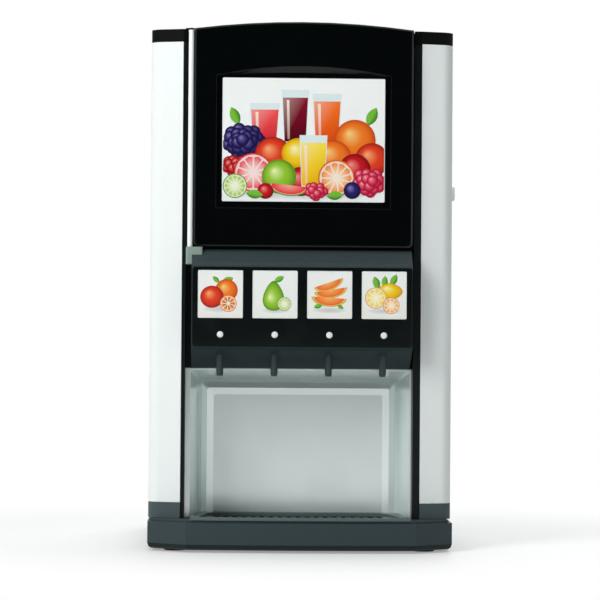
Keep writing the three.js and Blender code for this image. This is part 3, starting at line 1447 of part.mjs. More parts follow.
function headGroup() {
  const group = new THREE.Group();
  place(group, "dispense_head", dispenseHead(), "charcoal");
  place(group, "button_fascia", fascia(), "glossBlack");
  place(group, "control_board", controlBoard(), "board");
  place(group, "pump_deck", pumpDeck(), "liner");
  const [card, cap, tip] = [flavourCard(), button(), nozzle()];
  row(flavourCount, flavourPitch).forEach(({ number, x }, i) => {
    const spoutX = row(flavourCount, containerPitch)[i].x - x;
    place(group, `flavour_card_${number}`, card, "picture", [x, fasciaRearY, cardCentreZ]);
    place(group, `dispense_button_${number}`, cap, "button", [x, fasciaFrontY - buttonProud, buttonCentreZ]);
    place(group, `nozzle_${number}`, tip, "satinBlack", [x, nozzleY, nozzleTipZ]);
    place(group, `juice_tube_${number}`, juiceTube(spoutX), "silicone", [x, 0, 0]);
  });
  const [motor, rotor] = [pumpMotor(), pumpRotor()];
  pumpPlaces().forEach(({ number, x }) => {
    place(group, `pump_motor_${number}`, motor, "steel", [x, pumpPlateRearY + seat, pumpCentreZ]);
    place(group, `pump_rotor_${number}`, rotor, "button", [x, rotorFrontY, pumpCentreZ]);
  });
  return group;
}

function doorGroup() {
  const group = new THREE.Group();
  place(group, "door_shell", doorShell(), "glossBlack");
  place(group, "door_liner", doorLiner(), "liner");
  place(group, "door_gasket", doorGasket(), "rubber");
  place(group, "hinge_profile", hingeProfile(), "aluminium");
  const panelX = (doorLeftX + doorRightX) / 2;
  const panelY = doorFrontY + pictureRecessDepth - seat;
  place(group, "picture_panel", picturePanel(), "picture", [panelX, panelY, pictureCentreZ]);
  return group;
}

const dispenser = new THREE.Group();
dispenser.add(baseGroup(), cabinetGroup(), coolingGroup(), headGroup(), doorGroup());

export default dispenser;
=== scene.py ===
"""Looks of a countertop refrigerated juice dispenser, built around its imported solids.

Lengths are metres, X to the right, the front faces -Y, Z up. The solids come from the frame, and the
classes below dress them or put a finer piece in their place.
"""

from __future__ import annotations

import logging
import math
import random
from collections.abc import Callable, Iterable, Sequence
from dataclasses import dataclass, field, replace
from enum import Enum

import bmesh
import bpy
from mathutils import Matrix, Vector

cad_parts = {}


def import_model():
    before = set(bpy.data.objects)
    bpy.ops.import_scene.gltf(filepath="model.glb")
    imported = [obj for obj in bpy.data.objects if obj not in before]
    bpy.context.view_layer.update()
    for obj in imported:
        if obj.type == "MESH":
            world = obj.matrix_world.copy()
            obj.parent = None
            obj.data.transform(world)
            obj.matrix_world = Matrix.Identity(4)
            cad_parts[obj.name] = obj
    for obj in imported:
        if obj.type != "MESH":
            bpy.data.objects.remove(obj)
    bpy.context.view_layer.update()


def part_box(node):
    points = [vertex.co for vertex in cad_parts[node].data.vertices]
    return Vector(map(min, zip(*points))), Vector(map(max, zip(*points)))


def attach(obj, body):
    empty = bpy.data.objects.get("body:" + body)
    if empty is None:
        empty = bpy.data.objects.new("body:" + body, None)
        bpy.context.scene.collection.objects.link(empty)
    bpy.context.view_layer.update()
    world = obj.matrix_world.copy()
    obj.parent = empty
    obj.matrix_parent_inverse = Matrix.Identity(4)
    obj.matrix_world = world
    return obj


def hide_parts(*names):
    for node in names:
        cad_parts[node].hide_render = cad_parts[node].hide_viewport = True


log = logging.getLogger("dispenser")

MM = 0.001

Colour = tuple[float, float, float]
Point2 = tuple[float, float]
Tree = bpy.types.NodeTree
Node = bpy.types.Node
Socket = bpy.types.NodeSocket

BLACK: Colour = (0.0, 0.0, 0.0)
WHITE: Colour = (1.0, 1.0, 1.0)


def linear(red: int, green: int, blue: int) -> Colour:
    """Turn a display colour into a scene colour by the sRGB curve.

    Args:
        red: Red from 0 to 255, as on a screen.
        green: Green from 0 to 255.
        blue: Blue from 0 to 255.

    Returns:
        The three linear values.
    """
    shares = (channel / 255 for channel in (red, green, blue))
    return tuple(s / 12.92 if s <= 0.04045 else ((s + 0.055) / 1.055) ** 2.4 for s in shares)


def mixed(first: Colour, second: Colour, share: float) -> Colour:
    """Return the colour that lies the given share of the way from first to second."""
    return tuple(a + (b - a) * share for a, b in zip(first, second))


def opaque(colour: Colour) -> tuple[float, float, float, float]:
    """Return the colour with full opacity, as sockets and paint layers take it."""
    return (*colour, 1.0)


# Shader nodes, and the groups that every finish shares

FLOAT = "NodeSocketFloat"
VECTOR = "NodeSocketVector"


@dataclass
class Shading:
    """Adds nodes to a shader tree and joins them.

    Attributes:
        tree: The tree that takes them.
    """

    tree: Tree

    def feed(self, node: Node, feeds: dict[str | int, object]) -> None:
        """Fill a node's inputs.

        Args:
            node: The node.
            feeds: The value or the socket that each named or numbered input takes.
        """
        for place, value in feeds.items():
            if isinstance(value, Socket):
                self.tree.links.new(value, node.inputs[place])
            else:
                node.inputs[place].default_value = value

    def add(self, kind: str, feeds: dict[str | int, object] | None = None, **settings: object) -> Node:
        """Add a node.

        Args:
            kind: Blender's node type, without its "ShaderNode".
            feeds: The value or the socket that each named or numbered input takes.
            **settings: The node's own settings.

        Returns:
            The new node.
        """
        node = self.tree.nodes.new(f"ShaderNode{kind}")
        for name, value in settings.items():
            setattr(node, name, value)
        self.feed(node, feeds or {})
        return node

    def maths(self, operation: str, *values: object) -> Socket:
        """Return the result of an operation on sockets or numbers."""
        return self.add("Math", dict(enumerate(values)), operation=operation).outputs[0]

    def ramp(
        self, value: Socket, low: float, high: float, start: float = 0.0, curve: str = "LINEAR",
    ) -> Socket:
        """Spread a value over a range.

        Args:
            value: The value's socket.
            low: Where the result is start.
            high: Where the result is 1.
            start: The least result.
            curve: Blender's name of the way between.

        Returns:
            The result's socket.
        """
        feeds = {"Value": value, "From Min": low, "From Max": high, "To Min": start}
        return self.add("MapRange", feeds, interpolation_type=curve).outputs["Result"]

    def blended(self, under: object, over: object, mask: Socket) -> Socket:
        """Mix two colours by a mask.

        Args:
            under: Socket or colour where the mask is 0.
            over: Socket or colour where the mask is 1.
            mask: The mask's socket.

        Returns:
            The mixed colour's socket.
        """
        first, second = (value if isinstance(value, Socket) else opaque(value) for value in (under, over))
        return self.add("Mix", {0: mask, 6: first, 7: second}, data_type="RGBA").outputs[2]

    def weighed(self, value: Socket, weight: float, start: float = 0.0) -> Socket:
        """Return start plus value times weight as a socket."""
        return self.maths("MULTIPLY_ADD", value, weight, start)


def new_group(name: str, takes: dict[str, float], gives: dict[str, str]) -> tuple[Shading, Node, Node]:
    """Start a shader node group.

    Args:
        name: The group's name.
        takes: Its float inputs and their defaults.
        gives: Its outputs and their kinds.

    Returns:
        Its shading, the node that brings its inputs in, and the node that takes its outputs.
    """
    tree = bpy.data.node_groups.new(name, "ShaderNodeTree")
    for socket, default in takes.items():
        tree.interface.new_socket(socket, in_out="INPUT", socket_type=FLOAT).default_value = default
    for socket, kind in gives.items():
        tree.interface.new_socket(socket, in_out="OUTPUT", socket_type=kind)
    return Shading(tree), tree.nodes.new("NodeGroupInput"), tree.nodes.new("NodeGroupOutput")


def grain_group() -> Tree:
    """Build the fine grain of a surface, drawn out along one axis where it is asked to be.

    Returns:
        A group that gives a Height and a slow Tone, both about 0.5 in the middle.
    """
    takes = {"Scale": 900.0, "Stretch X": 1.0, "Stretch Y": 1.0, "Stretch Z": 1.0, "Tone Scale": 14.0}
    group, inside, outside = new_group("surface_grain", takes, {"Height": FLOAT, "Tone": FLOAT})
    places = group.add("TexCoord").outputs["Object"]
    stretch = group.add("CombineXYZ", {axis: inside.outputs[f"Stretch {axis}"] for axis in "XYZ"}).outputs[0]
    drawn = group.add("VectorMath", {0: places, 1: stretch}, operation="MULTIPLY").outputs[0]
    fine = group.add("TexNoise", {"Vector": drawn, "Scale": inside.outputs["Scale"], "Detail": 3.0})
    slow = group.add("TexNoise", {"Vector": places, "Scale": inside.outputs["Tone Scale"], "Detail": 4.0})
    group.feed(outside, {"Height": fine.outputs["Fac"], "Tone": slow.outputs["Fac"]})
    return group.tree


def edge_group(gain: float = 5.0) -> Tree:
    """Build softly rounded edges, and a mask of where hands and cloths rub them.

    Args:
        gain: How quickly the mask rises as a rounded edge turns.

    Returns:
        A group that gives a Mask, 1 on sharp edges, and the rounded Normal.
    """
    gives = {"Mask": FLOAT, "Normal": VECTOR}
    group, inside, outside = new_group("rounded_edges", {"Radius": 0.6 * MM}, gives)
    rounded = group.add("Bevel", {"Radius": inside.outputs["Radius"]}, samples=4).outputs[0]
    flat = group.add("NewGeometry").outputs["Normal"]
    alike = group.add("VectorMath", {0: rounded, 1: flat}, operation="DOT_PRODUCT").outputs["Value"]
    strong = group.maths("MULTIPLY", group.maths("SUBTRACT", 1.0, alike), gain)
    group.feed(outside, {"Mask": group.maths("MINIMUM", strong, 1.0), "Normal": rounded})
    return group.tree


def handling_group() -> Tree:
    """Build the marks of use: dull smudges and settled dust.

    Returns:
        A group that gives a Smudge and a Dust mask, both from 0 to 1.
    """
    gives = {"Smudge": FLOAT, "Dust": FLOAT}
    group, inside, outside = new_group("handling_marks", {"Smudge Scale": 22.0}, gives)
    places = group.add("TexCoord").outputs["Object"]
    scale = inside.outputs["Smudge Scale"]
    smears = group.add("TexNoise", {"Vector": places, "Scale": scale, "Detail": 5.0, "Distortion": 0.6})
    smudge = group.ramp(smears.outputs["Fac"], low=0.5, high=0.75)
    normal = group.add("NewGeometry").outputs["Normal"]
    upward = group.maths("MAXIMUM", group.add("SeparateXYZ", {0: normal}).outputs["Z"], 0.0)
    specks = group.add("TexNoise", {"Vector": places, "Scale": 160.0}).outputs["Fac"]
    group.feed(outside, {"Smudge": smudge, "Dust": group.maths("MULTIPLY", upward, specks)})
    return group.tree


class Kit:
    """The node groups, each built once and used by every finish.

    Attributes:
        groups: The groups by name.
    """

    groups: dict[str, Tree] = {}

    @classmethod
    def build(cls) -> None:
        """Build the three groups."""
        for tree in (grain_group(), edge_group(), handling_group()):
            cls.groups[tree.name] = tree

    @classmethod
    def place(cls, shading: Shading, group: str, feeds: dict[str | int, object]) -> Node:
        """Place a group in a material's tree with its own values, and return its node."""
        return shading.add("Group", feeds, node_tree=cls.groups[group])


def new_material(name: str) -> tuple[bpy.types.Material, Shading, Node]:
    """Start a material.

    Args:
        name: The material's name.

    Returns:
        The material, its shading and its main shader.
    """
    material = bpy.data.materials.new(name)
    material.use_nodes = True
    return material, Shading(material.node_tree), material.node_tree.nodes["Principled BSDF"]


class Texture(Enum):
    """How fine a surface's grain is along X, Y and Z; a small share draws it out that way."""

    EVEN = (1.0, 1.0, 1.0)
    BRUSHED_ACROSS = (0.02, 1.0, 1.0)
    BRUSHED_UPRIGHT = (1.0, 1.0, 0.02)


DUST_COLOUR = linear(215, 212, 205)
DEEP_SHARE = 0.6  # how far the deepest tone of a colour lies towards black
BLEED = (4 * MM, 3 * MM, 2 * MM)  # how far red, green and blue light spreads inside soft plastic


@dataclass(frozen=True)
class Finish:
    """One surface finish.

    Attributes:
        name: The material's name, which is also the record's slot where slot is empty.
        colour: The main colour.
        roughness: The roughness of clean surface.
        metallic: 1 for bare metal.
        texture: How the grain is drawn out.
        grain_scale: Grains per metre.
        grain_depth: Height of the grain in metres.
        tone: Share by which the colour wanders.
        worn: The colour of rubbed edges.
        wear: How strongly rubbed edges take the worn colour.
        edge: Radius of the softened edges in metres.
        smudge: How much smudges raise the roughness.
        dust: How strongly dust lightens what faces up.
        gloss: Strength of the mirror reflection, 0.5 for common plastic.
        sheen_through: Share of light that passes into the body, for soft plastic.
        slot: The record's slot, where it isn't the name.
    """

    name: str
    colour: Colour
    roughness: float = 0.4
    metallic: float = 0.0
    texture: Texture = Texture.EVEN
    grain_scale: float = 900.0
    grain_depth: float = 0.02 * MM
    tone: float = 0.04
    worn: Colour = linear(200, 202, 202)
    wear: float = 0.1
    edge: float = 0.6 * MM
    smudge: float = 0.08
    dust: float = 0.03
    gloss: float = 0.5
    sheen_through: float = 0.0
    slot: str = ""

    @property
    def record_slot(self) -> str:
        """The record's slot that this finish stands for."""
        return self.slot or self.name

    def base_colour(self, shading: Shading) -> Socket:
        """Add the nodes of the clean colour.

        Args:
            shading: Takes the nodes.

        Returns:
            The output that carries the colour.
        """
        node = shading.add("RGB")
        node.outputs[0].default_value = opaque(self.colour)
        return node.outputs[0]

    def build(self) -> bpy.types.Material:
        """Build the material.

        Returns:
            The finished material.
        """
        material, shading, shader = new_material(self.name)
        drawn = {f"Stretch {axis}": share for axis, share in zip("XYZ", self.texture.value)}
        grain = Kit.place(shading, "surface_grain", {"Scale": self.grain_scale, **drawn}).outputs
        edges = Kit.place(shading, "rounded_edges", {"Radius": self.edge}).outputs
        marks = Kit.place(shading, "handling_marks", {}).outputs
        deep = mixed(self.colour, BLACK, DEEP_SHARE)
        toned = shading.blended(self.base_colour(shading), deep, shading.weighed(grain["Tone"], self.tone))
        rubbed = shading.blended(toned, self.worn, shading.weighed(edges["Mask"], self.wear))
        dusty = shading.blended(rubbed, DUST_COLOUR, shading.weighed(marks["Dust"], self.dust))
        relief = {"Distance": self.grain_depth, "Height": grain["Height"], "Normal": edges["Normal"]}
        shading.feed(shader, {
            "Base Color": dusty,
            "Roughness": shading.weighed(marks["Smudge"], self.smudge, self.roughness),
            "Normal": shading.add("Bump", relief).outputs[0],
            "Metallic": self.metallic,
            "Specular IOR Level": self.gloss,
            "Subsurface Weight": self.sheen_through,
            "Subsurface Radius": BLEED,
        })
        return material


PAINT_LAYER = "paint"


@dataclass(frozen=True)
class PrintFinish(Finish):
    """A printed picture, whose colours are painted on the mesh's corners."""

    def base_colour(self, shading: Shading) -> Socket:
        """Read the painted colour."""
        return shading.add("VertexColor", layer_name=PAINT_LAYER).outputs["Color"]


@dataclass(frozen=True)
class BoardFinish(Finish):
    """A circuit board: solder mask with copper tracks showing through it.

    Attributes:
        track: Colour of the tracks under the mask.
        track_scale: Scale of the brick pattern whose joints are the tracks.
        track_width: Width of the joints in that pattern.
        shade: How far the pattern's darker bricks lie towards black.
    """

    track: Colour = linear(96, 138, 70)
    track_scale: float = 130.0
    track_width: float = 0.03
    shade: float = 0.3

    def base_colour(self, shading: Shading) -> Socket:
        """Lay tracks over the solder mask.

        Args:
            shading: The material's shading.

        Returns:
            The colour's socket.
        """
        places = shading.add("TexCoord").outputs["Object"]
        upright = shading.add("Mapping", {"Vector": places, "Rotation": (math.pi / 2, 0.0, 0.0)}).outputs[0]
        return shading.add("TexBrick", {
            "Vector": upright,
            "Scale": self.track_scale,
            "Mortar Size": self.track_width,
            "Color1": opaque(self.colour),
            "Color2": opaque(mixed(self.colour, BLACK, self.shade)),
            "Mortar": opaque(self.track),
        }).outputs["Color"]


@dataclass(frozen=True)
class LowerBandFinish(Finish):
    """A moulding with a lower band of another colour, by default painted shade on the plinth's undercut.

    Attributes:
        lower_band: Colour of the lowest part.
        lower_band_top: Height where it ends.
        blur: Half the height over which the colours meet.
    """

    # the default lower colour is painted shade, the dark of the plinth's undercut
    lower_band: Colour = linear(20, 33, 34)
    lower_band_top: float = 12.2 * MM
    blur: float = 0.7 * MM

    def base_colour(self, shading: Shading) -> Socket:
        """Change from the lowest part's colour to the main one with height.

        Args:
            shading: The material's shading.

        Returns:
            The colour's socket.
        """
        places = shading.add("TexCoord").outputs["Object"]
        height = shading.add("SeparateXYZ", {0: places}).outputs["Z"]
        rise = shading.ramp(height, self.lower_band_top - self.blur, self.lower_band_top + self.blur)
        return shading.blended(self.lower_band, self.colour, rise)


class Finishes:
    """Every finish of the machine, and the material that each becomes.

    Attributes:
        made: The materials built so far, by name.
    """

    panel_white = Finish(
        "panel_white", linear(243, 246, 245), roughness=0.42, grain_scale=420.0, grain_depth=0.012 * MM,
        tone=0.02, worn=linear(186, 188, 186), wear=0.1, smudge=0.05, dust=0.02, edge=0.9 * MM, gloss=0.3)
    door_black = Finish(
        "door_black", linear(4, 7, 8), roughness=0.1, grain_scale=60.0, grain_depth=0.003 * MM,
        tone=0.1, worn=linear(40, 44, 46), wear=0.06, smudge=0.05, dust=0.01, edge=0.7 * MM, gloss=0.3,
        slot="gloss_black")
    fascia_black = replace(
        door_black, name="fascia_black", colour=linear(9, 15, 16), roughness=0.14, smudge=0.06,
        edge=0.6 * MM)
    frame_black = Finish(
        "frame_black", linear(14, 20, 21), roughness=0.35, tone=0.08, worn=linear(50, 56, 58), wear=0.12,
        edge=0.7 * MM, gloss=0.15, slot="gloss_black")
    lid_black = Finish(
        "lid_black", linear(6, 8, 8), roughness=0.5, grain_scale=1100.0, grain_depth=0.05 * MM,
        tone=0.08, worn=linear(40, 43, 43), wear=0.06, smudge=0.04, dust=0.01, edge=0.9 * MM, gloss=0.05,
        slot="satin_black")
    satin_black = Finish(
        "satin_black", linear(15, 18, 19), grain_scale=1400.0, worn=linear(66, 70, 72), wear=0.2,
        edge=0.7 * MM, gloss=0.25)
    # the plinth's darker lower band is painted shade along its undercut
    plinth_grey = LowerBandFinish(
        "plinth_grey", linear(51, 64, 67), roughness=0.48, grain_scale=1200.0, grain_depth=0.03 * MM,
        worn=linear(112, 124, 125), wear=0.2, gloss=0.2, slot="charcoal")
    slate = Finish(
        "slate", linear(72, 86, 88), roughness=0.45, grain_scale=1200.0, grain_depth=0.03 * MM,
        worn=linear(128, 141, 141), wear=0.22, gloss=0.2)
    tray_grey = replace(
        slate, name="tray_grey", colour=linear(88, 102, 102), roughness=0.42, worn=linear(136, 149, 149),
        gloss=0.25, slot="slate")
    head_grey = replace(
        slate, name="head_grey", colour=linear(41, 55, 58), roughness=0.46, worn=linear(104, 118, 119),
        wear=0.18, gloss=0.15, slot="charcoal")
    nozzle_grey = Finish(
        "nozzle_grey", linear(40, 52, 54), roughness=0.38, grain_scale=1400.0, worn=linear(84, 94, 95),
        wear=0.15, gloss=0.3, slot="satin_black")
    pale_green = Finish(
        "pale_green", linear(138, 158, 149), grain_scale=500.0, worn=linear(190, 200, 195), wear=0.15)
    liner_white = Finish(
        "liner_white", linear(236, 239, 239), roughness=0.3, tone=0.03, sheen_through=0.05)
    door_lining = LowerBandFinish(
        "door_lining", linear(14, 19, 20), roughness=0.35, tone=0.03, wear=0.05, gloss=0.2,
        slot="liner_white", lower_band=linear(236, 239, 239), lower_band_top=787 * MM, blur=0.3 * MM)
    steel = Finish(
        "steel", linear(186, 190, 190), roughness=0.36, metallic=1.0, texture=Texture.BRUSHED_ACROSS,
        grain_scale=2600.0, grain_depth=0.006 * MM, tone=0.03, worn=linear(225, 227, 227), smudge=0.06)
    splash_steel = Finish(
        "splash_steel", linear(232, 242, 240), roughness=0.21, metallic=0.5,
        texture=Texture.BRUSHED_UPRIGHT, grain_scale=2200.0, grain_depth=0.003 * MM, tone=0.03,
        worn=linear(236, 240, 240), smudge=0.06, slot="splash_grey")
    aluminium = Finish(
        "aluminium", linear(232, 234, 235), roughness=0.3, metallic=1.0, texture=Texture.BRUSHED_UPRIGHT,
        grain_scale=2400.0, grain_depth=0.004 * MM, worn=linear(245, 246, 246))
    # near white and barely metallic, so the hinge profile shows as the bright strip down the door's left
    # edge: partly the hinge's own pale colour, partly a painted highlight
    hinge_highlight_white = Finish(
        "hinge_highlight_white", linear(246, 248, 247), roughness=0.45, metallic=0.1,
        texture=Texture.BRUSHED_UPRIGHT, grain_scale=2400.0, grain_depth=0.004 * MM, tone=0.02, wear=0.05,
        slot="aluminium")
    rubber = Finish(
        "rubber", linear(30, 30, 31), roughness=0.75, grain_scale=1800.0, grain_depth=0.04 * MM,
        wear=0.05, dust=0.12, gloss=0.2)
    board = BoardFinish("board", linear(26, 92, 58), roughness=0.32, wear=0.0)
    tube = Finish("tube", linear(228, 216, 190), roughness=0.28, sheen_through=0.35, wear=0.0)
    carton = Finish(
        "carton", linear(232, 164, 74), roughness=0.46, tone=0.1, worn=linear(240, 214, 170), wear=0.2)
    picture = PrintFinish(
        "picture_print", linear(240, 240, 235), roughness=0.22, tone=0.0, wear=0.0, grain_depth=0.0,
        smudge=0.03, dust=0.0, edge=0.002 * MM, gloss=0.3, slot="picture")
    card = replace(picture, name="card_print", roughness=0.24, slot="card")
    button_white = Finish(
        "button_white", linear(240, 243, 243), roughness=0.22, sheen_through=0.1, wear=0.05)
    made: dict[str, bpy.types.Material] = {}

    @classmethod
    def material(cls, finish: Finish) -> bpy.types.Material:
        """Build a finish's material at its first use.

        Args:
            finish: The finish.

        Returns:
            Its material.
        """
        if finish.name not in cls.made:
            cls.made[finish.name] = finish.build()
        return cls.made[finish.name]


# Meshes

SHARP_ANGLE = math.radians(32)
DOME_SHARES = (0.75, 0.5, 0.25)  # where a dome's profile has points, from its rim to its middle


def smooth_by_angle(mesh: bpy.types.Mesh) -> None:
    """Shade a mesh smooth, and keep the edges that turn by more than the sharp angle.

    Args:
        mesh: The mesh.
    """
    mesh.shade_smooth()
    work = bmesh.new()
    work.from_mesh(mesh)
    for edge in work.edges:
        edge.smooth = len(edge.link_faces) == 2 and edge.calc_face_angle(0.0) < SHARP_ANGLE
    work.to_mesh(mesh)
    work.free()


def dress(finish: Finish, *nodes: str) -> None:
    """Give solids of the frame their finish and their smooth shading.

    Args:
        finish: The finish that covers them.
        *nodes: The solids' names.
    """
    for node in nodes:
        solid = bpy.data.objects[node]
        smooth_by_angle(solid.data)
        solid.data.materials.clear()
        solid.data.materials.append(Finishes.material(finish))
        log.info("dressed %s in %s", node, finish.name)


def add_piece(
    name: str, work: bmesh.types.BMesh, body: str, finish: Finish, solid: bool = True,
) -> bpy.types.Object:
    """Turn a bmesh into a piece that rides on a body.

    Args:
        name: The piece's name.
        work: The mesh, which is freed.
        body: The body that carries it.
        finish: Its finish.
        solid: Whether its faces enclose a solid and are to be turned outwards.

    Returns:
        The new piece.
    """
    mesh = bpy.data.meshes.new(name)
    if solid:
        bmesh.ops.recalc_face_normals(work, faces=work.faces)
    work.to_mesh(mesh)
    work.free()
    smooth_by_angle(mesh)
    mesh.materials.append(Finishes.material(finish))
    piece = bpy.data.objects.new(name, mesh)
    bpy.context.scene.collection.objects.link(piece)
    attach(piece, body)
    log.info("made %s on %s", name, body)
    return piece


def corners(node: str) -> tuple[Vector, Vector, Vector]:
    """Return a solid's lowest corner, highest corner and middle at rest."""
    low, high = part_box(node)
    return low, high, (low + high) / 2


def facing(direction: Vector, place: Vector) -> Matrix:
    """Return a frame at place whose local Z points in the direction."""
    return Matrix.Translation(place) @ direction.to_track_quat("Z", "Y").to_matrix().to_4x4()


def lathe(work: bmesh.types.BMesh, profile: Sequence[Point2], frame: Matrix, sides: int = 48) -> None:
    """Turn a profile round the local Z axis and add it to a mesh.

    Args:
        work: The mesh that takes it.
        profile: Radius and height pairs, from one end on the axis to the other.
        frame: Places the local axes in the row frame.
        sides: Facets of the round.
    """
    turns = [2 * math.pi * side / sides for side in range(sides)]
    rings: list[list[bmesh.types.BMVert]] = []
    for radius, height in profile:
        spots = [(radius * math.cos(t), radius * math.sin(t), height) for t in turns]
        if radius == 0:
            spots = [(0.0, 0.0, height)]
        rings.append([work.verts.new(frame @ Vector(spot)) for spot in spots])
    for low, high in zip(rings, rings[1:]):
        for side in range(sides):
            around = ((low, side), (low, side + 1), (high, side + 1), (high, side))
            face = list(dict.fromkeys(ring[spot % len(ring)] for ring, spot in around))
            if len(face) > 2:
                work.faces.new(face)


def rounded_rim(radius: float, height: float, edge: float, steps: int = 6) -> list[Point2]:
    """Return the profile of a disc's underside, wall and rounded rim.

    Args:
        radius: Outer radius.
        height: Height of the rim's top edge.
        edge: Radius of the rounded rim.
        steps: Points on the rounded rim.

    Returns:
        Radius and height pairs from the underside's middle to the rim's top edge.
    """
    turns = [math.pi / 2 * step / steps for step in range(steps + 1)]
    arc = [(radius - edge + edge * math.cos(a), height - edge + edge * math.sin(a)) for a in turns]
    return [(0.0, 0.0), (radius, 0.0), *arc]


def domed(radius: float, height: float, edge: float, top: float) -> list[Point2]:
    """Return the profile of a disc with a rounded rim and a slight dome.

    Args:
        radius: Outer radius.
        height: Height of the rim's top edge.
        edge: Radius of the rounded rim.
        top: How far the middle stands above the rim.

    Returns:
        Radius and height pairs from the underside's middle to the top's middle.
    """
    crown = [((radius - edge) * share, height + top * (1 - share * share)) for share in DOME_SHARES]
    return [*rounded_rim(radius, height, edge), *crown, (0.0, height + top)]


@dataclass
class Screws:
    """Pan-head screws with a cross recess.

    Attributes:
        name: The piece's name.
        body: The body that carries them.
        places: Where their heads sit, and the way that they face.
        radius: Head radius.
        height: Head height.
        rim: Rounding of the head as a share of its radius.
        dish: Radii of the driver's recess at its mouth and at its floor's edge, as shares of the head's.
        floor: Height of the recess's middle and of its floor's edge, as shares of the head's.
        wing: How far the wings between the recess's slots reach out, as a share of the head's radius.
        wing_top: Height of the wings, as a share of the head's.
    """

    name: str
    body: str
    places: list[tuple[Vector, Vector]]
    radius: float = 3.2 * MM
    height: float = 1.5 * MM
    rim: float = 0.3
    dish: Point2 = (0.5, 0.42)
    floor: Point2 = (0.6, 0.7)
    wing: float = 0.34
    wing_top: float = 0.92

    def build(self) -> bpy.types.Object:
        """Build all the heads as one piece.

        Returns:
            The piece.
        """
        work = bmesh.new()
        for place, direction in self.places:
            frame = facing(direction, place)
            lathe(work, self.profile(), frame, sides=24)
            self.add_cross(work, frame)
        return add_piece(self.name, work, self.body, Finishes.steel)

    def profile(self) -> list[Point2]:
        """Work out a head's profile, dished in the middle for the driver.

        Returns:
            The profile's points.
        """
        mouth, base = (self.radius * share for share in self.dish)
        middle, foot = (self.height * share for share in self.floor)
        rim = rounded_rim(self.radius, self.height, self.radius * self.rim)
        return [*rim, (mouth, self.height), (base, foot), (0.0, middle)]

    def add_cross(self, work: bmesh.types.BMesh, frame: Matrix) -> None:
        """Add the four wings between the recess's slots, each half as wide as its reach.

        Args:
            work: The mesh that takes them.
            frame: The head's frame.
        """
        reach, floor, top = self.radius * self.wing, self.height * self.floor[0], self.height * self.wing_top
        side = reach / 2
        for turn in range(4):
            spot = frame @ Matrix.Rotation(math.pi / 4 + turn * math.pi / 2, 4, "Z")
            middle = spot @ Matrix.Translation((reach - side / 2, 0.0, (floor + top) / 2))
            size = Matrix.Diagonal((side, side, top - floor, 1.0))
            bmesh.ops.create_cube(work, size=1.0, matrix=middle @ size)


# Printed pictures. Places and sizes on them are in sheet heights, from the sheet's middle.

Outline = Callable[[float], Point2]
Tones = tuple[Colour, Colour, Colour]

RING_SHARES = (0.0, 0.16, 0.34, 0.5, 0.66, 0.8, 0.92, 1.0)
BERRY_SHARES = (0.0, 0.35, 0.7, 1.0)
HIGHLIGHT = (-0.3, 0.35)  # where the light falls on a fruit, in radii from its middle
LIGHT_FALL = 0.8  # how evenly the highlight passes into the body's colour
SHADE_FALL = 1.6  # how late the body's colour passes into the shade
PAPER = linear(244, 245, 244)
SHADOW = linear(120, 110, 100)
SHADOW_SHARE = 0.44  # how far a shadow's middle lies from the paper's colour towards that
SHADOW_FADE = 0.4  # how far its colour has gone back to the paper's halfway out
LEAF_STEPS = (0.0, 0.2, 0.4, 0.6, 0.8, 1.0)
LEAF_HALF = 0.26  # half of a leaf's greatest width, as a share of its length
LEAF_FULLNESS = 0.8  # the smaller, the blunter a leaf's ends
LEAF_SPINE = tuple((step, LEAF_HALF * math.sin(math.pi * step) ** LEAF_FULLNESS) for step in LEAF_STEPS)
PITH_INSIDE = 0.92  # radius of a slice's pith, as a share of the rind's
PITH: Colour = (1.0, 1.0, 0.95)
PITH_SHARE = 0.75  # how far a slice's pith lies from the flesh's colour towards that
SLICE_EDGE = 0.12  # how far the edge of a slice lies towards black
WEDGE_FOOT, WEDGE_SIDE, WEDGE_END = 0.14, 0.78, 0.85  # reach of a slice's wedges
WEDGE_FILL = 0.84  # share of the round that the wedges fill
WEDGE_TINGE = 0.35  # how far a wedge's outer end lies towards the rind's colour
SPIRAL_TURN = 2.4  # turn from one heaped berry to the next, in radians
BERRY_WANDER = 0.12  # how far a berry strays from its place, in its radii
HEAP_SQUAT = 0.8  # height of a heap, as a share of its width
GLASS = linear(226, 238, 240)
GLASS_WALL = 1.06  # width of a tumbler, as a share of its juice's
GLASS_FLOOR, GLASS_BRIM = 0.06, 0.86  # where the juice begins and ends, as shares of the tumbler's height
JUICE_SHADE = 0.2  # how far the juice's lower right corner lies towards black
JUICE_LIGHT = 0.25  # how far its upper left corner lies towards white
SHINE = linear(255, 236, 214)
SHINE_FOOT = (0.35, 0.3)  # how far its lower corners lie from the juice's colour towards that
SHINE_SIDE = 0.72  # how far left of a tumbler's middle its highlight lies, as a share of the half width
SHINE_INSET = 0.02  # how far the highlight stays clear of the juice's ends
SHINE_SHAPE = (1.0, 0.7, 0.8, 1.15)  # its corners' places across, as shares of that
MELON_DEPTH = 0.52  # depth of a melon's wedge, as a share of its half length
MELON_FLESH, MELON_PALE = 0.84, 0.9  # where its flesh and its pale flesh end, as shares of its depth
MELON_STEPS = 12


def oval(x: float, z: float, half: float, rise: float) -> Outline:
    """Return the outline of an oval about a point, from its half width and half height."""
    return lambda angle: (x + half * math.cos(angle), z + rise * math.sin(angle))


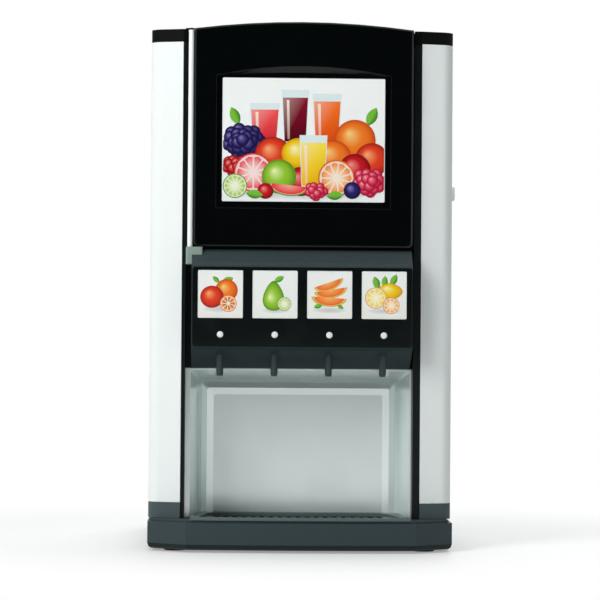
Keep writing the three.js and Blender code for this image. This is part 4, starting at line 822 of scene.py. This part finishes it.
@dataclass
class Artwork:
    """A printed picture made of flat coloured shapes, each a hair above the one under it.

    Attributes:
        centre: The middle of the sheet, on its face.
        width: The sheet's width.
        height: The sheet's height.
        step: How far each layer stands above the last.
        seed: Starts the scatter of berries.
        layer: How many layers are printed.
        work: The mesh that takes the shapes.
        colour_layer: Holds the colour at each corner of the mesh's faces.
        chance: Scatters the berries.
    """

    centre: Vector
    width: float
    height: float
    step: float = 0.006 * MM
    seed: int = 3
    layer: int = 0
    work: bmesh.types.BMesh = field(default_factory=bmesh.new)

    def __post_init__(self) -> None:
        """Start the layer that holds the colours, and the scatter."""
        self.colour_layer = self.work.loops.layers.float_color.new(PAINT_LAYER)
        self.chance = random.Random(self.seed)

    @classmethod
    def on(cls, node: str, margin: float) -> Artwork:
        """Lay a bare sheet on a solid's front.

        Args:
            node: The solid.
            margin: How far in from the front's edges the sheet ends.

        Returns:
            The sheet.
        """
        low, high, middle = corners(node)
        face = Vector((middle.x, low.y, middle.z))
        return cls(face, high.x - low.x - 2 * margin, high.z - low.z - 2 * margin)

    def place(self, x: float, z: float) -> Vector:
        """Return the point at x and z on the present layer."""
        return self.centre + Vector((x * self.height, -self.step * (self.layer + 1), z * self.height))

    def face(self, points: Sequence[Point2], colours: Sequence[Colour]) -> None:
        """Add one face, kept inside the sheet and turned to the front.

        Args:
            points: Its corners.
            colours: The colour at each corner.
        """
        half = self.width / self.height / 2
        kept = [(min(max(x, -half), half), min(max(z, -0.5), 0.5)) for x, z in points]
        area = sum(a[0] * b[1] - b[0] * a[1] for a, b in zip(kept, kept[1:] + kept[:1]))
        order = 1 if area > 0 else -1
        made = self.work.faces.new([self.work.verts.new(self.place(x, z)) for x, z in kept[::order]])
        for loop, colour in zip(made.loops, list(colours)[::order]):
            loop[self.colour_layer] = opaque(colour)

    def backdrop(self, low: Colour, high: Colour = linear(246, 246, 245)) -> None:
        """Cover the sheet.

        Args:
            low: The colour at its foot.
            high: The colour at its top.
        """
        half = self.width / self.height / 2
        self.face([(-half, -0.5), (half, -0.5), (half, 0.5), (-half, 0.5)], [low, low, high, high])
        self.layer += 1

    def shaded(
        self, outline: Outline, middle: Point2, tones: Tones, sides: int = 36,
        shares: Sequence[float] = RING_SHARES,
    ) -> None:
        """Fill an outline with rings that run from a highlight out to a shaded rim.

        Args:
            outline: Gives the rim's point at each angle.
            middle: Where the highlight sits.
            tones: Colours at the highlight, halfway out and at the rim.
            sides: Points on each ring.
            shares: How far out each ring lies, from 0 to 1.
        """
        light, body, shade = tones
        across, up = middle
        colours = [
            mixed(light, body, (s / 0.5) ** LIGHT_FALL) if s < 0.5
            else mixed(body, shade, ((s - 0.5) / 0.5) ** SHADE_FALL)
            for s in shares
        ]
        rim = [outline(2 * math.pi * side / sides) for side in range(sides)]
        rings = [[(across + (x - across) * s, up + (z - up) * s) for x, z in rim] for s in shares]
        for ring in range(len(shares) - 1):
            inner, outer = rings[ring], rings[ring + 1]
            near, far = colours[ring], colours[ring + 1]
            for side in range(sides):
                other = (side + 1) % sides
                if ring == 0:
                    self.face([middle, outer[side], outer[other]], [near, far, far])
                else:
                    self.face([inner[side], outer[side], outer[other], inner[other]], [near, far, far, near])
        self.layer += 1

    def ball(
        self, x: float, z: float, radius: float, tones: Tones, squat: float = 1.0, sides: int = 36,
        shares: Sequence[float] = RING_SHARES,
    ) -> None:
        """Draw a round fruit lit from its upper left.

        Args:
            x: Place across.
            z: Place up.
            radius: Half its width.
            tones: Its colours.
            squat: Its height as a share of its width.
            sides: Points on each ring.
            shares: How far out each ring lies.
        """
        rise = radius * squat
        spot = (x + radius * HIGHLIGHT[0], z + rise * HIGHLIGHT[1])
        self.shaded(oval(x, z, radius, rise), spot, tones, sides, shares)

    def shadow(self, x: float, z: float, half: float, rise: float) -> None:
        """Lay a soft oval shadow on the table, darkest in its middle."""
        dark = mixed(PAPER, SHADOW, SHADOW_SHARE)
        self.shaded(oval(x, z, half, rise), (x, z), (dark, mixed(dark, PAPER, SHADOW_FADE), PAPER))

    def leaf(self, x: float, z: float, length: float, angle: float) -> None:
        """Draw a pointed leaf with a pale midrib.

        Args:
            x: Place across of its stalk.
            z: Place up of its stalk.
            length: Its length.
            angle: Which way it points.
        """
        light, shade = Fruit.leaf
        ahead, aside = length * math.cos(angle), length * math.sin(angle)
        for (start, near), (end, far) in zip(LEAF_SPINE, LEAF_SPINE[1:]):
            for side, colour in ((1, light), (-1, shade)):
                quad = [(start, 0.0), (end, 0.0), (end, far * side), (start, near * side)]
                points = [(x + a * ahead - b * aside, z + a * aside + b * ahead) for a, b in quad]
                self.face(points, [light, light, colour, colour])
        self.layer += 1

    def ring_slice(self, x: float, z: float, radius: float, tones: Tones, parts: int = 10) -> None:
        """Draw a cut fruit.

        Args:
            x: Place across.
            z: Place up.
            radius: The rind's radius.
            tones: Colours of rind, flesh and core.
            parts: How many wedges it has.
        """
        rind, flesh, core = tones
        pith = mixed(flesh, PITH, PITH_SHARE)
        for reach, colour in ((radius, rind), (radius * PITH_INSIDE, pith)):
            edge = mixed(colour, BLACK, SLICE_EDGE)
            self.shaded(oval(x, z, reach, reach), (x, z), (colour, colour, edge), sides=30)
        for part in range(parts):
            middle = 2 * math.pi * part / parts
            spread = math.pi / parts * WEDGE_FILL
            tips = ((WEDGE_FOOT, middle), (WEDGE_SIDE, middle - spread), (WEDGE_END, middle),
                    (WEDGE_SIDE, middle + spread))
            points = [(x + radius * r * math.cos(a), z + radius * r * math.sin(a)) for r, a in tips]
            self.face(points, [core, flesh, mixed(flesh, rind, WEDGE_TINGE), flesh])
        self.layer += 1

    def cluster(self, x: float, z: float, reach: float, berry: float, count: int, tones: Tones) -> None:
        """Heap small round berries about a point, from the outside in.

        Args:
            x: Place across.
            z: Place up.
            reach: Half the heap's width.
            berry: A berry's radius.
            count: How many berries.
            tones: Their colours.
        """
        for number in range(count):
            turn, out = number * SPIRAL_TURN, reach * math.sqrt((count - number) / count)
            wander = self.chance.uniform(-BERRY_WANDER, BERRY_WANDER) * berry
            spot = (x + out * math.cos(turn) + wander, z + out * HEAP_SQUAT * math.sin(turn) - wander)
            self.ball(*spot, berry, tones, sides=14, shares=BERRY_SHARES)

    def vessel(
        self, x: float, foot: float, top: float, width: float, juice: tuple[Colour, Colour],
        flare: float = 1.25,
    ) -> None:
        """Draw a tumbler of juice with a clear rim above the juice and a highlight down its left side.

        Args:
            x: Place across.
            foot: Height of its foot.
            top: Height of its brim.
            width: Width of the juice at the foot.
            juice: The juice's colours at the top and at the foot.
            flare: How much wider it is at the top.
        """
        high, low = juice
        half, tall = width / 2, top - foot

        def side(z: float) -> float:
            """Return half the juice's width at a height."""
            return half * (1 + (flare - 1) * (z - foot) / tall)

        def panel(wide: float, base: float, brim: float, colours: Sequence[Colour]) -> None:
            """Add one upright panel.

            Args:
                wide: Its width as a share of the juice's.
                base: Height of its foot.
                brim: Height of its top.
                colours: The colour at each corner.
            """
            near, far = side(base) * wide, side(brim) * wide
            self.face([(x - near, base), (x + near, base), (x + far, brim), (x - far, brim)], colours)
            self.layer += 1

        floor, brim = foot + tall * GLASS_FLOOR, foot + tall * GLASS_BRIM
        panel(GLASS_WALL, foot, top, [GLASS] * 4)
        dark, lit = mixed(low, BLACK, JUICE_SHADE), mixed(high, WHITE, JUICE_LIGHT)
        panel(1.0, floor, brim, [low, dark, high, lit])
        edge = side(floor) * SHINE_SIDE
        ends = [floor + SHINE_INSET] * 2 + [brim - SHINE_INSET] * 2
        shine = [*(mixed(low, SHINE, share) for share in SHINE_FOOT), SHINE, SHINE]
        self.face([(x - edge * share, z) for share, z in zip(SHINE_SHAPE, ends)], shine)
        self.layer += 1

    def wedge(self, x: float, z: float, length: float, angle: float, tones: Tones) -> None:
        """Draw a crescent wedge of melon lying on its rind.

        Args:
            x: Place across of its cut edge's middle.
            z: Place up of it.
            length: Its length.
            angle: How far it is turned.
            tones: Colours of the rind, the flesh and the pale flesh.
        """
        rind, flesh, pale = tones
        half, ahead, aside = length / 2, math.cos(angle), math.sin(angle)

        def point(turn: float, reach: float) -> Point2:
            """Return the point at a turn round the rind and a reach from the cut edge's middle."""
            u, v = reach * math.cos(turn), -reach * MELON_DEPTH * math.sin(turn)
            return (x + u * ahead - v * aside, z + u * aside + v * ahead)

        bands = (
            (0.0, MELON_FLESH, pale, flesh),
            (MELON_FLESH, MELON_PALE, pale, pale),
            (MELON_PALE, 1.0, rind, rind),
        )
        turns = [math.pi * step / MELON_STEPS for step in range(MELON_STEPS + 1)]
        for first, second in zip(turns, turns[1:]):
            for near, far, low, high in bands:
                outer = [point(first, half * far), point(second, half * far)]
                if near == 0.0:
                    self.face([*outer, point(second, half * near)], [high, high, low])
                else:
                    inner = [point(second, half * near), point(first, half * near)]
                    self.face([*outer, *inner], [high, high, low, low])
        self.layer += 1

    def paint(self) -> None:
        """Paint the picture, which each sheet does in its own way."""
        raise NotImplementedError

    def build(self, name: str, body: str, finish: Finish) -> bpy.types.Object:
        """Paint the picture, turn it into a piece and return it."""
        self.paint()
        return add_piece(name, self.work, body, finish, solid=False)


class Fruit:
    """Colours of the painted fruit: highlight, body and shade, and of a leaf's two halves."""

    peach = (linear(255, 214, 130), linear(246, 126, 36), linear(206, 62, 20))
    nectarine = (linear(255, 176, 120), linear(232, 66, 34), linear(160, 24, 20))
    plum = (linear(140, 128, 196), linear(44, 36, 104), linear(18, 12, 50))
    cherry = (linear(255, 150, 140), linear(204, 24, 34), linear(112, 6, 18))
    pear = (linear(240, 252, 180), linear(150, 200, 52), linear(78, 140, 26))
    lemon = (linear(255, 252, 190), linear(250, 208, 34), linear(214, 150, 10))
    raspberry = (linear(255, 170, 180), linear(226, 44, 84), linear(158, 16, 50))
    leaf = (linear(120, 190, 60), linear(44, 122, 34))


class Cut:
    """Colours of the cut fruit: rind, flesh, and core or pale flesh."""

    grapefruit = (linear(236, 60, 60), linear(240, 66, 92), linear(255, 226, 216))
    orange = (linear(240, 110, 20), linear(252, 140, 40), linear(255, 236, 200))
    lime = (linear(120, 170, 40), linear(176, 214, 74), linear(250, 250, 220))
    red_melon = (linear(96, 156, 44), linear(236, 44, 60), linear(255, 170, 150))
    orange_melon = (linear(206, 190, 90), linear(243, 108, 34), linear(255, 184, 104))
    peach = (linear(236, 100, 24), linear(255, 166, 52), linear(150, 60, 20))
    pale_lime = (linear(110, 166, 36), linear(190, 222, 96), linear(250, 250, 220))
    lemon = (linear(244, 180, 20), linear(255, 222, 74), linear(255, 250, 210))
    pale_orange = (linear(240, 136, 24), linear(255, 178, 60), linear(255, 240, 200))


class Juice:
    """Colours of the juices at the top and at the foot of a tumbler."""

    red = (linear(250, 84, 84), linear(210, 24, 44))
    dark = (linear(140, 12, 40), linear(84, 4, 24))
    orange = (linear(252, 118, 30), linear(236, 74, 16))
    yellow = (linear(254, 226, 60), linear(246, 186, 16))


class DoorArt(Artwork):
    """The door's picture: tumblers behind a heap of stone fruit, berries, melon and cut fruit."""

    def paint(self) -> None:
        """Paint the heap from the back to the front."""
        self.backdrop(linear(246, 247, 244), linear(250, 251, 250))
        self.shadow(0.0, -0.43, 0.64, 0.06)
        self.vessel(-0.32, -0.08, 0.3, 0.18, Juice.red, flare=1.3)
        self.vessel(-0.07, -0.04, 0.41, 0.17, Juice.dark)
        self.vessel(0.19, -0.06, 0.38, 0.18, Juice.orange)
        self.leaf(0.52, 0.12, 0.17, 1.1)
        self.leaf(-0.53, 0.12, 0.16, 2.0)
        self.cluster(-0.49, -0.02, 0.14, 0.055, 28, Fruit.plum)
        self.ball(0.42, 0.0, 0.17, Fruit.peach)
        self.ball(0.56, -0.16, 0.14, Fruit.nectarine)
        self.ball(-0.25, -0.12, 0.15, Fruit.nectarine, squat=0.95)
        self.ball(0.24, -0.14, 0.15, Fruit.peach, squat=0.94)
        self.ball(-0.04, -0.11, 0.14, Fruit.lemon, squat=0.9)
        self.ball(-0.02, -0.34, 0.12, Fruit.cherry)
        self.vessel(0.08, -0.4, 0.04, 0.18, Juice.yellow, flare=1.2)
        self.cluster(-0.56, -0.22, 0.08, 0.045, 14, Fruit.cherry)
        self.ring_slice(-0.41, -0.27, 0.16, Cut.grapefruit)
        self.ball(-0.2, -0.3, 0.14, Fruit.pear)
        self.ball(0.42, -0.24, 0.13, Fruit.cherry)
        self.ring_slice(0.27, -0.31, 0.15, Cut.orange, parts=11)
        self.cluster(0.54, -0.34, 0.11, 0.047, 17, Fruit.raspberry)
        self.wedge(-0.12, -0.37, 0.34, -0.1, Cut.red_melon)
        self.ring_slice(-0.56, -0.38, 0.1, Cut.lime, parts=12)
        self.cluster(0.1, -0.42, 0.07, 0.036, 11, Fruit.raspberry)
        self.ball(0.4, -0.41, 0.07, Fruit.plum)
        self.ball(-0.31, -0.42, 0.065, Fruit.cherry)
        self.leaf(-0.47, -0.44, 0.14, -0.1)
        self.leaf(0.19, -0.46, 0.14, 0.1)


class PeachCard(Artwork):
    """A card with two peaches, a half and two leaves."""

    def paint(self) -> None:
        """Paint the peaches."""
        self.backdrop(linear(243, 240, 234))
        self.shadow(0.0, -0.32, 0.38, 0.08)
        self.leaf(0.02, 0.24, 0.28, 0.4)
        self.leaf(-0.02, 0.24, 0.2, 2.4)
        self.ball(0.13, 0.08, 0.24, Fruit.peach)
        self.ball(-0.18, -0.06, 0.25, Fruit.nectarine, squat=0.95)
        self.ring_slice(0.17, -0.2, 0.18, Cut.peach, parts=9)


def pear_outline(angle: float) -> Point2:
    """Return a pear's rim at an angle: narrow above, wide below."""
    waist = 0.22 - 0.08 * math.sin(angle)
    return (-0.03 + waist * math.cos(angle), -0.03 + 0.32 * math.sin(angle))


class PearCard(Artwork):
    """A card with a green pear and a half lime."""

    def paint(self) -> None:
        """Paint the pear."""
        self.backdrop(linear(241, 244, 236))
        self.shadow(0.02, -0.34, 0.32, 0.07)
        self.leaf(-0.02, 0.27, 0.24, 0.5)
        self.shaded(pear_outline, (-0.12, -0.06), Fruit.pear)
        self.ring_slice(0.2, -0.2, 0.15, Cut.pale_lime)


class MelonCard(Artwork):
    """A card with three wedges of orange melon."""

    def paint(self) -> None:
        """Paint the wedges."""
        self.backdrop(linear(243, 240, 234))
        self.shadow(0.0, -0.33, 0.4, 0.07)
        self.wedge(-0.03, 0.26, 0.66, 0.34, Cut.orange_melon)
        self.wedge(0.02, 0.11, 0.72, 0.16, Cut.orange_melon)
        self.wedge(-0.01, -0.06, 0.76, -0.06, Cut.orange_melon)
        self.leaf(-0.34, -0.27, 0.2, 0.3)
        self.leaf(0.3, -0.3, 0.16, 2.6)


def lemon_outline(angle: float) -> Point2:
    """Return a lemon's rim at an angle, with a point at each end."""
    reach = 0.22 + 0.055 * abs(math.cos(angle)) ** 6
    return (0.12 + reach * math.cos(angle), 0.08 + 0.82 * reach * math.sin(angle))


class LemonCard(Artwork):
    """A card with a lemon, two slices and leaves."""

    def paint(self) -> None:
        """Paint the lemons."""
        self.backdrop(linear(243, 241, 231))
        self.shadow(0.0, -0.34, 0.4, 0.07)
        self.leaf(-0.12, 0.12, 0.3, 1.9)
        self.leaf(0.14, 0.2, 0.28, 1.1)
        self.leaf(0.0, 0.16, 0.26, 1.5)
        self.shaded(lemon_outline, (0.04, 0.16), Fruit.lemon)
        self.ring_slice(-0.18, -0.06, 0.23, Cut.lemon, parts=9)
        self.ring_slice(0.15, -0.22, 0.18, Cut.pale_orange, parts=9)


# Sub-assemblies


@dataclass
class Base:
    """Plinth, feet, corner blocks and the drip tray with its grille."""

    def build(self) -> None:
        """Dress the base."""
        dress(Finishes.plinth_grey, "base_pan")
        dress(Finishes.slate, "corner_block_left", "corner_block_right")
        dress(Finishes.tray_grey, "drip_tray")
        dress(Finishes.satin_black, "drip_grille")
        dress(Finishes.rubber, "foot_front_left", "foot_front_right", "foot_rear_left", "foot_rear_right")


@dataclass
class Cabinet:
    """Panels, lid, frame, chassis, cold cabinet and what is fixed to them.

    Attributes:
        screw_inset: How far the rear panel's screws sit from its edges.
        screw_rows: Screws down each side of the rear panel.
        key_rim: Width of the key switch's outer ring.
        key_dish: Depth of its dished middle.
        key_wall: Shares of radius and depth along its outside, from the panel to the front edge.
        key_mouth: Shares of the dish's radius and of the whole depth at its mouth and just inside it.
        key_floor: Radius of the dish's floor, as a share of the dish's.
        slot_width: Width of the key slot.
        slot_length: Its length, as a share of the dish's radius.
        slot_depth: Its thickness, as a share of the dish's depth.
        slot_rise: How far its middle stands above the floor, as a share of the dish's depth.
        slot_round: Rounding of its edges, as a share of its width.
    """

    screw_inset: float = 9 * MM
    screw_rows: int = 5
    key_rim: float = 2.6 * MM
    key_dish: float = 1.1 * MM
    key_wall: tuple[Point2, ...] = ((1.0, 0.0), (1.0, 0.7), (0.94, 0.9), (0.84, 1.0))
    key_mouth: tuple[Point2, ...] = ((1.05, 1.0), (1.0, 0.94))
    key_floor: float = 0.96
    slot_width: float = 1.6 * MM
    slot_length: float = 1.5
    slot_depth: float = 0.4
    slot_rise: float = 0.1
    slot_round: float = 0.2

    def build(self) -> None:
        """Dress the cabinet and make its screws and its key switch."""
        dress(Finishes.panel_white, "side_panel_left", "side_panel_right")
        dress(Finishes.lid_black, "top_lid")
        dress(Finishes.steel, "rear_panel", "chassis", "key_barrel")
        dress(Finishes.frame_black, "front_frame")
        dress(Finishes.liner_white, "insulated_cabinet")
        dress(Finishes.splash_steel, "splash_panel")
        dress(Finishes.pale_green, "hinge_block")
        dress(Finishes.satin_black, "service_inlet")
        dress(Finishes.carton, *(f"juice_container_{number}" for number in range(1, 5)))
        self.rear_screws()
        self.key_switch()

    def rear_screws(self) -> None:
        """Screw the rear panel down both sides."""
        low, high, _ = corners("rear_panel")
        span = (high.z - low.z - 2 * self.screw_inset) / (self.screw_rows - 1)
        heights = [low.z + self.screw_inset + row * span for row in range(self.screw_rows)]
        sides = (low.x + self.screw_inset, high.x - self.screw_inset)
        places = [(Vector((x, high.y, z)), Vector((0.0, 1.0, 0.0))) for x in sides for z in heights]
        Screws("rear_panel_screws", "dispenser_body", places).build()

    def key_switch(self) -> None:
        """Turn the key switch's dished face in place of the plain barrel, and cut its slot."""
        low, high, middle = corners("key_barrel")
        depth, radius = high.x - low.x, (high.z - low.z) / 2
        floor, ring = depth - self.key_dish, radius - self.key_rim
        wall = [(radius * share, depth * out) for share, out in self.key_wall]
        mouth = [(ring * share, depth * out) for share, out in self.key_mouth]
        frame = facing(Vector((1.0, 0.0, 0.0)), Vector((low.x, middle.y, middle.z)))
        work = bmesh.new()
        lathe(work, [(0.0, 0.0), *wall, *mouth, (ring * self.key_floor, floor), (0.0, floor)], frame)
        face = add_piece("key_switch", work, "key", Finishes.steel)
        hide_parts("key_barrel")
        slot = bmesh.new()
        thick, rounding = self.key_dish * self.slot_depth, self.slot_width * self.slot_round
        size = Matrix.Diagonal((thick, self.slot_width, ring * self.slot_length, 1.0))
        place = Vector((low.x + floor + self.key_dish * self.slot_rise, middle.y, middle.z))
        bmesh.ops.create_cube(slot, size=1.0, matrix=Matrix.Translation(place) @ size)
        bmesh.ops.bevel(slot, geom=slot.edges[:], offset=rounding, segments=2, affect="EDGES")
        add_piece("key_slot", slot, "key", Finishes.satin_black)


@dataclass
class Cooling:
    """Compressor, condenser and fan in the machine space."""

    def build(self) -> None:
        """Dress the cooling pieces."""
        dress(Finishes.satin_black, "compressor", "fan_rotor")
        dress(Finishes.aluminium, "condenser")


@dataclass
class Head:
    """Dispensing head with its fascia, cards, buttons, nozzles and pumps.

    Attributes:
        cap_radius: Radius of a button's raised cap, which clears the fascia's hole.
        cap_height: Height of the cap's rim.
        cap_crown: How far its middle stands above the rim.
        cap_edge: Radius of its rounded rim.
        card_margin: Clear border round a card's print.
        cards: The kinds of card, from the left.
    """

    cap_radius: float = 4.1 * MM
    cap_height: float = 0.7 * MM
    cap_crown: float = 0.35 * MM
    cap_edge: float = 0.42 * MM
    card_margin: float = 0.8 * MM
    cards: tuple[type[Artwork], ...] = (PeachCard, PearCard, MelonCard, LemonCard)

    def build(self) -> None:
        """Dress the head and make its fine pieces."""
        dress(Finishes.head_grey, "dispense_head")
        dress(Finishes.fascia_black, "button_fascia")
        dress(Finishes.board, "control_board")
        dress(Finishes.liner_white, "pump_deck")
        for number, card in enumerate(self.cards, start=1):
            for plain in ("dispense_button", "pump_rotor", "flavour_card"):
                dress(Finishes.button_white, f"{plain}_{number}")
            dress(Finishes.nozzle_grey, f"nozzle_{number}")
            dress(Finishes.tube, f"juice_tube_{number}")
            dress(Finishes.steel, f"pump_motor_{number}")
            sheet = card.on(f"flavour_card_{number}", self.card_margin)
            sheet.build(f"flavour_print_{number}", "dispenser_body", Finishes.card)
            self.button_cap(number)

    def button_cap(self, number: int) -> None:
        """Raise a domed cap on one button's face.

        Args:
            number: The button's number, from the left.
        """
        low, _, middle = corners(f"dispense_button_{number}")
        work = bmesh.new()
        frame = facing(Vector((0.0, -1.0, 0.0)), Vector((middle.x, low.y, middle.z)))
        lathe(work, domed(self.cap_radius, self.cap_height, self.cap_edge, self.cap_crown), frame)
        add_piece(f"button_cap_{number}", work, f"button_{number}", Finishes.button_white)


@dataclass
class Door:
    """Crowned door with its picture.

    Attributes:
        print_margin: Clear border round the printed picture.
    """

    print_margin: float = 1.2 * MM

    def build(self) -> None:
        """Dress the door and print its picture."""
        dress(Finishes.door_black, "door_shell")
        dress(Finishes.door_lining, "door_liner")
        dress(Finishes.rubber, "door_gasket")
        # the hinge profile's near-white finish is partly a painted highlight
        dress(Finishes.hinge_highlight_white, "hinge_profile")
        dress(Finishes.button_white, "picture_panel")
        DoorArt.on("picture_panel", self.print_margin).build("picture_print", "door", Finishes.picture)


# Floor, light and camera


@dataclass(frozen=True)
class Lamp:
    """A soft square lamp.

    Attributes:
        name: Its name.
        place: Where it hangs.
        target: What it faces.
        size: Its side.
        power: Its power in watts.
    """

    name: str
    place: tuple[float, float, float]
    target: tuple[float, float, float]
    size: float
    power: float

    def hang(self) -> None:
        """Put the lamp in the scene."""
        data = bpy.data.lights.new(self.name, "AREA")
        data.size = self.size
        data.energy = self.power
        lamp = bpy.data.objects.new(self.name, data)
        lamp.location = self.place
        lamp.rotation_euler = (Vector(self.place) - Vector(self.target)).to_track_quat("Z", "Y").to_euler()
        bpy.context.scene.collection.objects.link(lamp)


@dataclass
class Studio:
    """Pale floor, soft lamps and the camera.

    Attributes:
        distance: From the camera to the front of the side panels.
        lens: Focal length in millimetres.
        sensor: Width of the camera's sensor in millimetres.
        sight: How far the camera sees.
        aside: How far left of the middle the camera stands.
        aim_aside: How far left of the middle it aims.
        eye_height: Height of the camera's eye.
        aim_height: Height that it aims at.
        roll: The photograph's small tilt.
        front: Where the side panels' front lies in Y.
        surround: Colour of the surround's light.
        surround_light: Strength of the surround's light.
        floor_colour: Colour of the floor.
        floor_roughness: Roughness of the floor.
        floor_size: Side of the floor.
        floor_middle: Y of the middle of its shaded patch.
        floor_near: Distance from there at which it starts to turn white.
        floor_far: Distance at which it is white.
        floor_lift: Share of white close to the machine.
        flag_colour: Colour of the black card behind the camera.
        flag_roughness: Roughness of that card.
        flag_size: Side of that card.
        flag_behind: How far behind the camera it stands.
        flag_drop: How far its foot reaches below the camera's aim.
        lamps: The lamps.
    """

    distance: float = 4.0
    lens: float = 158.1
    sensor: float = 36.0
    sight: float = 60.0
    aside: float = 0.12
    aim_aside: float = 0.0018
    eye_height: float = 0.31
    aim_height: float = 0.3796
    roll: float = math.radians(0.43)
    front: float = -0.23
    surround: Colour = linear(142, 156, 154)
    surround_light: float = 0.5
    floor_colour: Colour = linear(244, 245, 245)
    floor_roughness: float = 0.6
    floor_size: float = 24.0
    floor_middle: float = 0.14
    floor_near: float = 0.36
    floor_far: float = 0.92
    floor_lift: float = 0.3
    flag_colour: Colour = linear(6, 7, 8)
    flag_roughness: float = 0.9
    flag_size: float = 3.4
    flag_behind: float = 0.5
    flag_drop: float = 0.2
    lamps: tuple[Lamp, ...] = (
        Lamp("key", place=(-2.3, -2.9, 2.3), target=(0.0, -0.1, 0.25), size=1.8, power=99.0),
        Lamp("fill", place=(2.0, -2.2, 0.8), target=(0.0, -0.1, 0.35), size=1.6, power=2.0),
        Lamp("overhead", place=(0.0, -0.2, 2.6), target=(0.0, 0.0, 0.4), size=2.0, power=22.0),
        Lamp("behind", place=(0.5, 2.6, 1.6), target=(0.0, 0.1, 0.4), size=1.8, power=34.0),
    )

    def build(self) -> None:
        """Set up the view, the floor, the lamps and the camera."""
        bpy.context.scene.view_settings.view_transform = "Standard"
        self.world()
        self.floor()
        self.flag()
        for lamp in self.lamps:
            lamp.hang()
        self.camera()

    def seen_directly(self, shading: Shading) -> Socket:
        """Tell the rays from the camera, off a mirror or through glass from the others.

        Args:
            shading: Takes the nodes.

        Returns:
            A socket that is 1 for such rays and 0 for the others.
        """
        light = shading.add("LightPath").outputs
        mirrored = shading.maths("MAXIMUM", light["Is Camera Ray"], light["Is Glossy Ray"])
        return shading.maths("MAXIMUM", mirrored, light["Is Transmission Ray"])

    def world(self) -> None:
        """Show a white surround to the camera and to mirrors, and a dim one to the light."""
        world = bpy.data.worlds.new("studio")
        bpy.context.scene.world = world
        world.use_nodes = True
        shading, nodes = Shading(world.node_tree), world.node_tree.nodes
        dim = nodes["Background"]
        shading.feed(dim, {"Color": opaque(self.surround), "Strength": self.surround_light})
        white = shading.add("Background", {"Color": opaque(WHITE)})
        seen = self.seen_directly(shading)
        mix = shading.add("MixShader", {0: seen, 1: dim.outputs[0], 2: white.outputs[0]})
        shading.feed(nodes["World Output"], {"Surface": mix.outputs[0]})

    def sheet(self, name: str, size: float, material: bpy.types.Material) -> bpy.types.Object:
        """Make a square sheet of the stage, which isn't part of the object.

        Args:
            name: The sheet's name.
            size: Its side.
            material: What covers it.

        Returns:
            The sheet, lying level at the origin.
        """
        work = bmesh.new()
        bmesh.ops.create_grid(work, x_segments=1, y_segments=1, size=size / 2)
        mesh = bpy.data.meshes.new(name)
        work.to_mesh(mesh)
        work.free()
        mesh.materials.append(material)
        made = bpy.data.objects.new(name, mesh)
        bpy.context.scene.collection.objects.link(made)
        return made

    def floor(self) -> None:
        """Lay a pale floor that keeps the machine's shadow and turns white further out."""
        material, shading, shader = new_material("pale_floor")
        shading.feed(shader, {"Base Color": opaque(self.floor_colour), "Roughness": self.floor_roughness})
        ends = {0: shading.add("TexCoord").outputs["Object"], 1: (0.0, self.floor_middle, 0.0)}
        reach = shading.add("VectorMath", ends, operation="DISTANCE").outputs["Value"]
        fade = shading.ramp(reach, self.floor_near, self.floor_far, self.floor_lift, "SMOOTHSTEP")
        mask = shading.maths("MULTIPLY", self.seen_directly(shading), fade)
        white = shading.add("Emission")
        mix = shading.add("MixShader", {0: mask, 1: shader.outputs[0], 2: white.outputs[0]})
        shading.feed(material.node_tree.nodes["Material Output"], {"Surface": mix.outputs[0]})
        self.sheet("floor", self.floor_size, material)

    def flag(self) -> None:
        """Stand a black card behind the camera, which gloss black surfaces mirror."""
        material, shading, shader = new_material("black_card")
        shading.feed(shader, {"Base Color": opaque(self.flag_colour), "Roughness": self.flag_roughness})
        card = self.sheet("flag", self.flag_size, material)
        middle = self.aim_height + self.flag_size / 2 - self.flag_drop
        card.location = (0.0, self.front - self.distance - self.flag_behind, middle)
        card.rotation_euler = (math.pi / 2, 0.0, 0.0)
        card.visible_camera = False
        card.visible_diffuse = False
        card.visible_shadow = False

    def camera(self) -> None:
        """Stand the camera a little low and to the left, aimed at the middle of the front."""
        data = bpy.data.cameras.new("camera")
        data.lens = self.lens
        data.sensor_width = self.sensor
        data.clip_end = self.sight
        camera = bpy.data.objects.new("camera", data)
        camera.location = (-self.aside, self.front - self.distance, self.eye_height)
        ahead = Vector((-self.aim_aside, self.front, self.aim_height)) - camera.location
        camera.rotation_euler = ahead.to_track_quat("-Z", "Y").to_euler()
        camera.rotation_euler.rotate_axis("Z", self.roll)
        bpy.context.scene.collection.objects.link(camera)
        bpy.context.scene.camera = camera


def main() -> None:
    """Load the frame and build the looks round it."""
    logging.basicConfig(level=logging.INFO, format="%(name)s: %(message)s")
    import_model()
    Kit.build()
    for assembly in (Base(), Cabinet(), Cooling(), Head(), Door()):
        assembly.build()
        log.info("built %s", type(assembly).__name__)
    Studio().build()


if __name__ == "__main__":
    main()
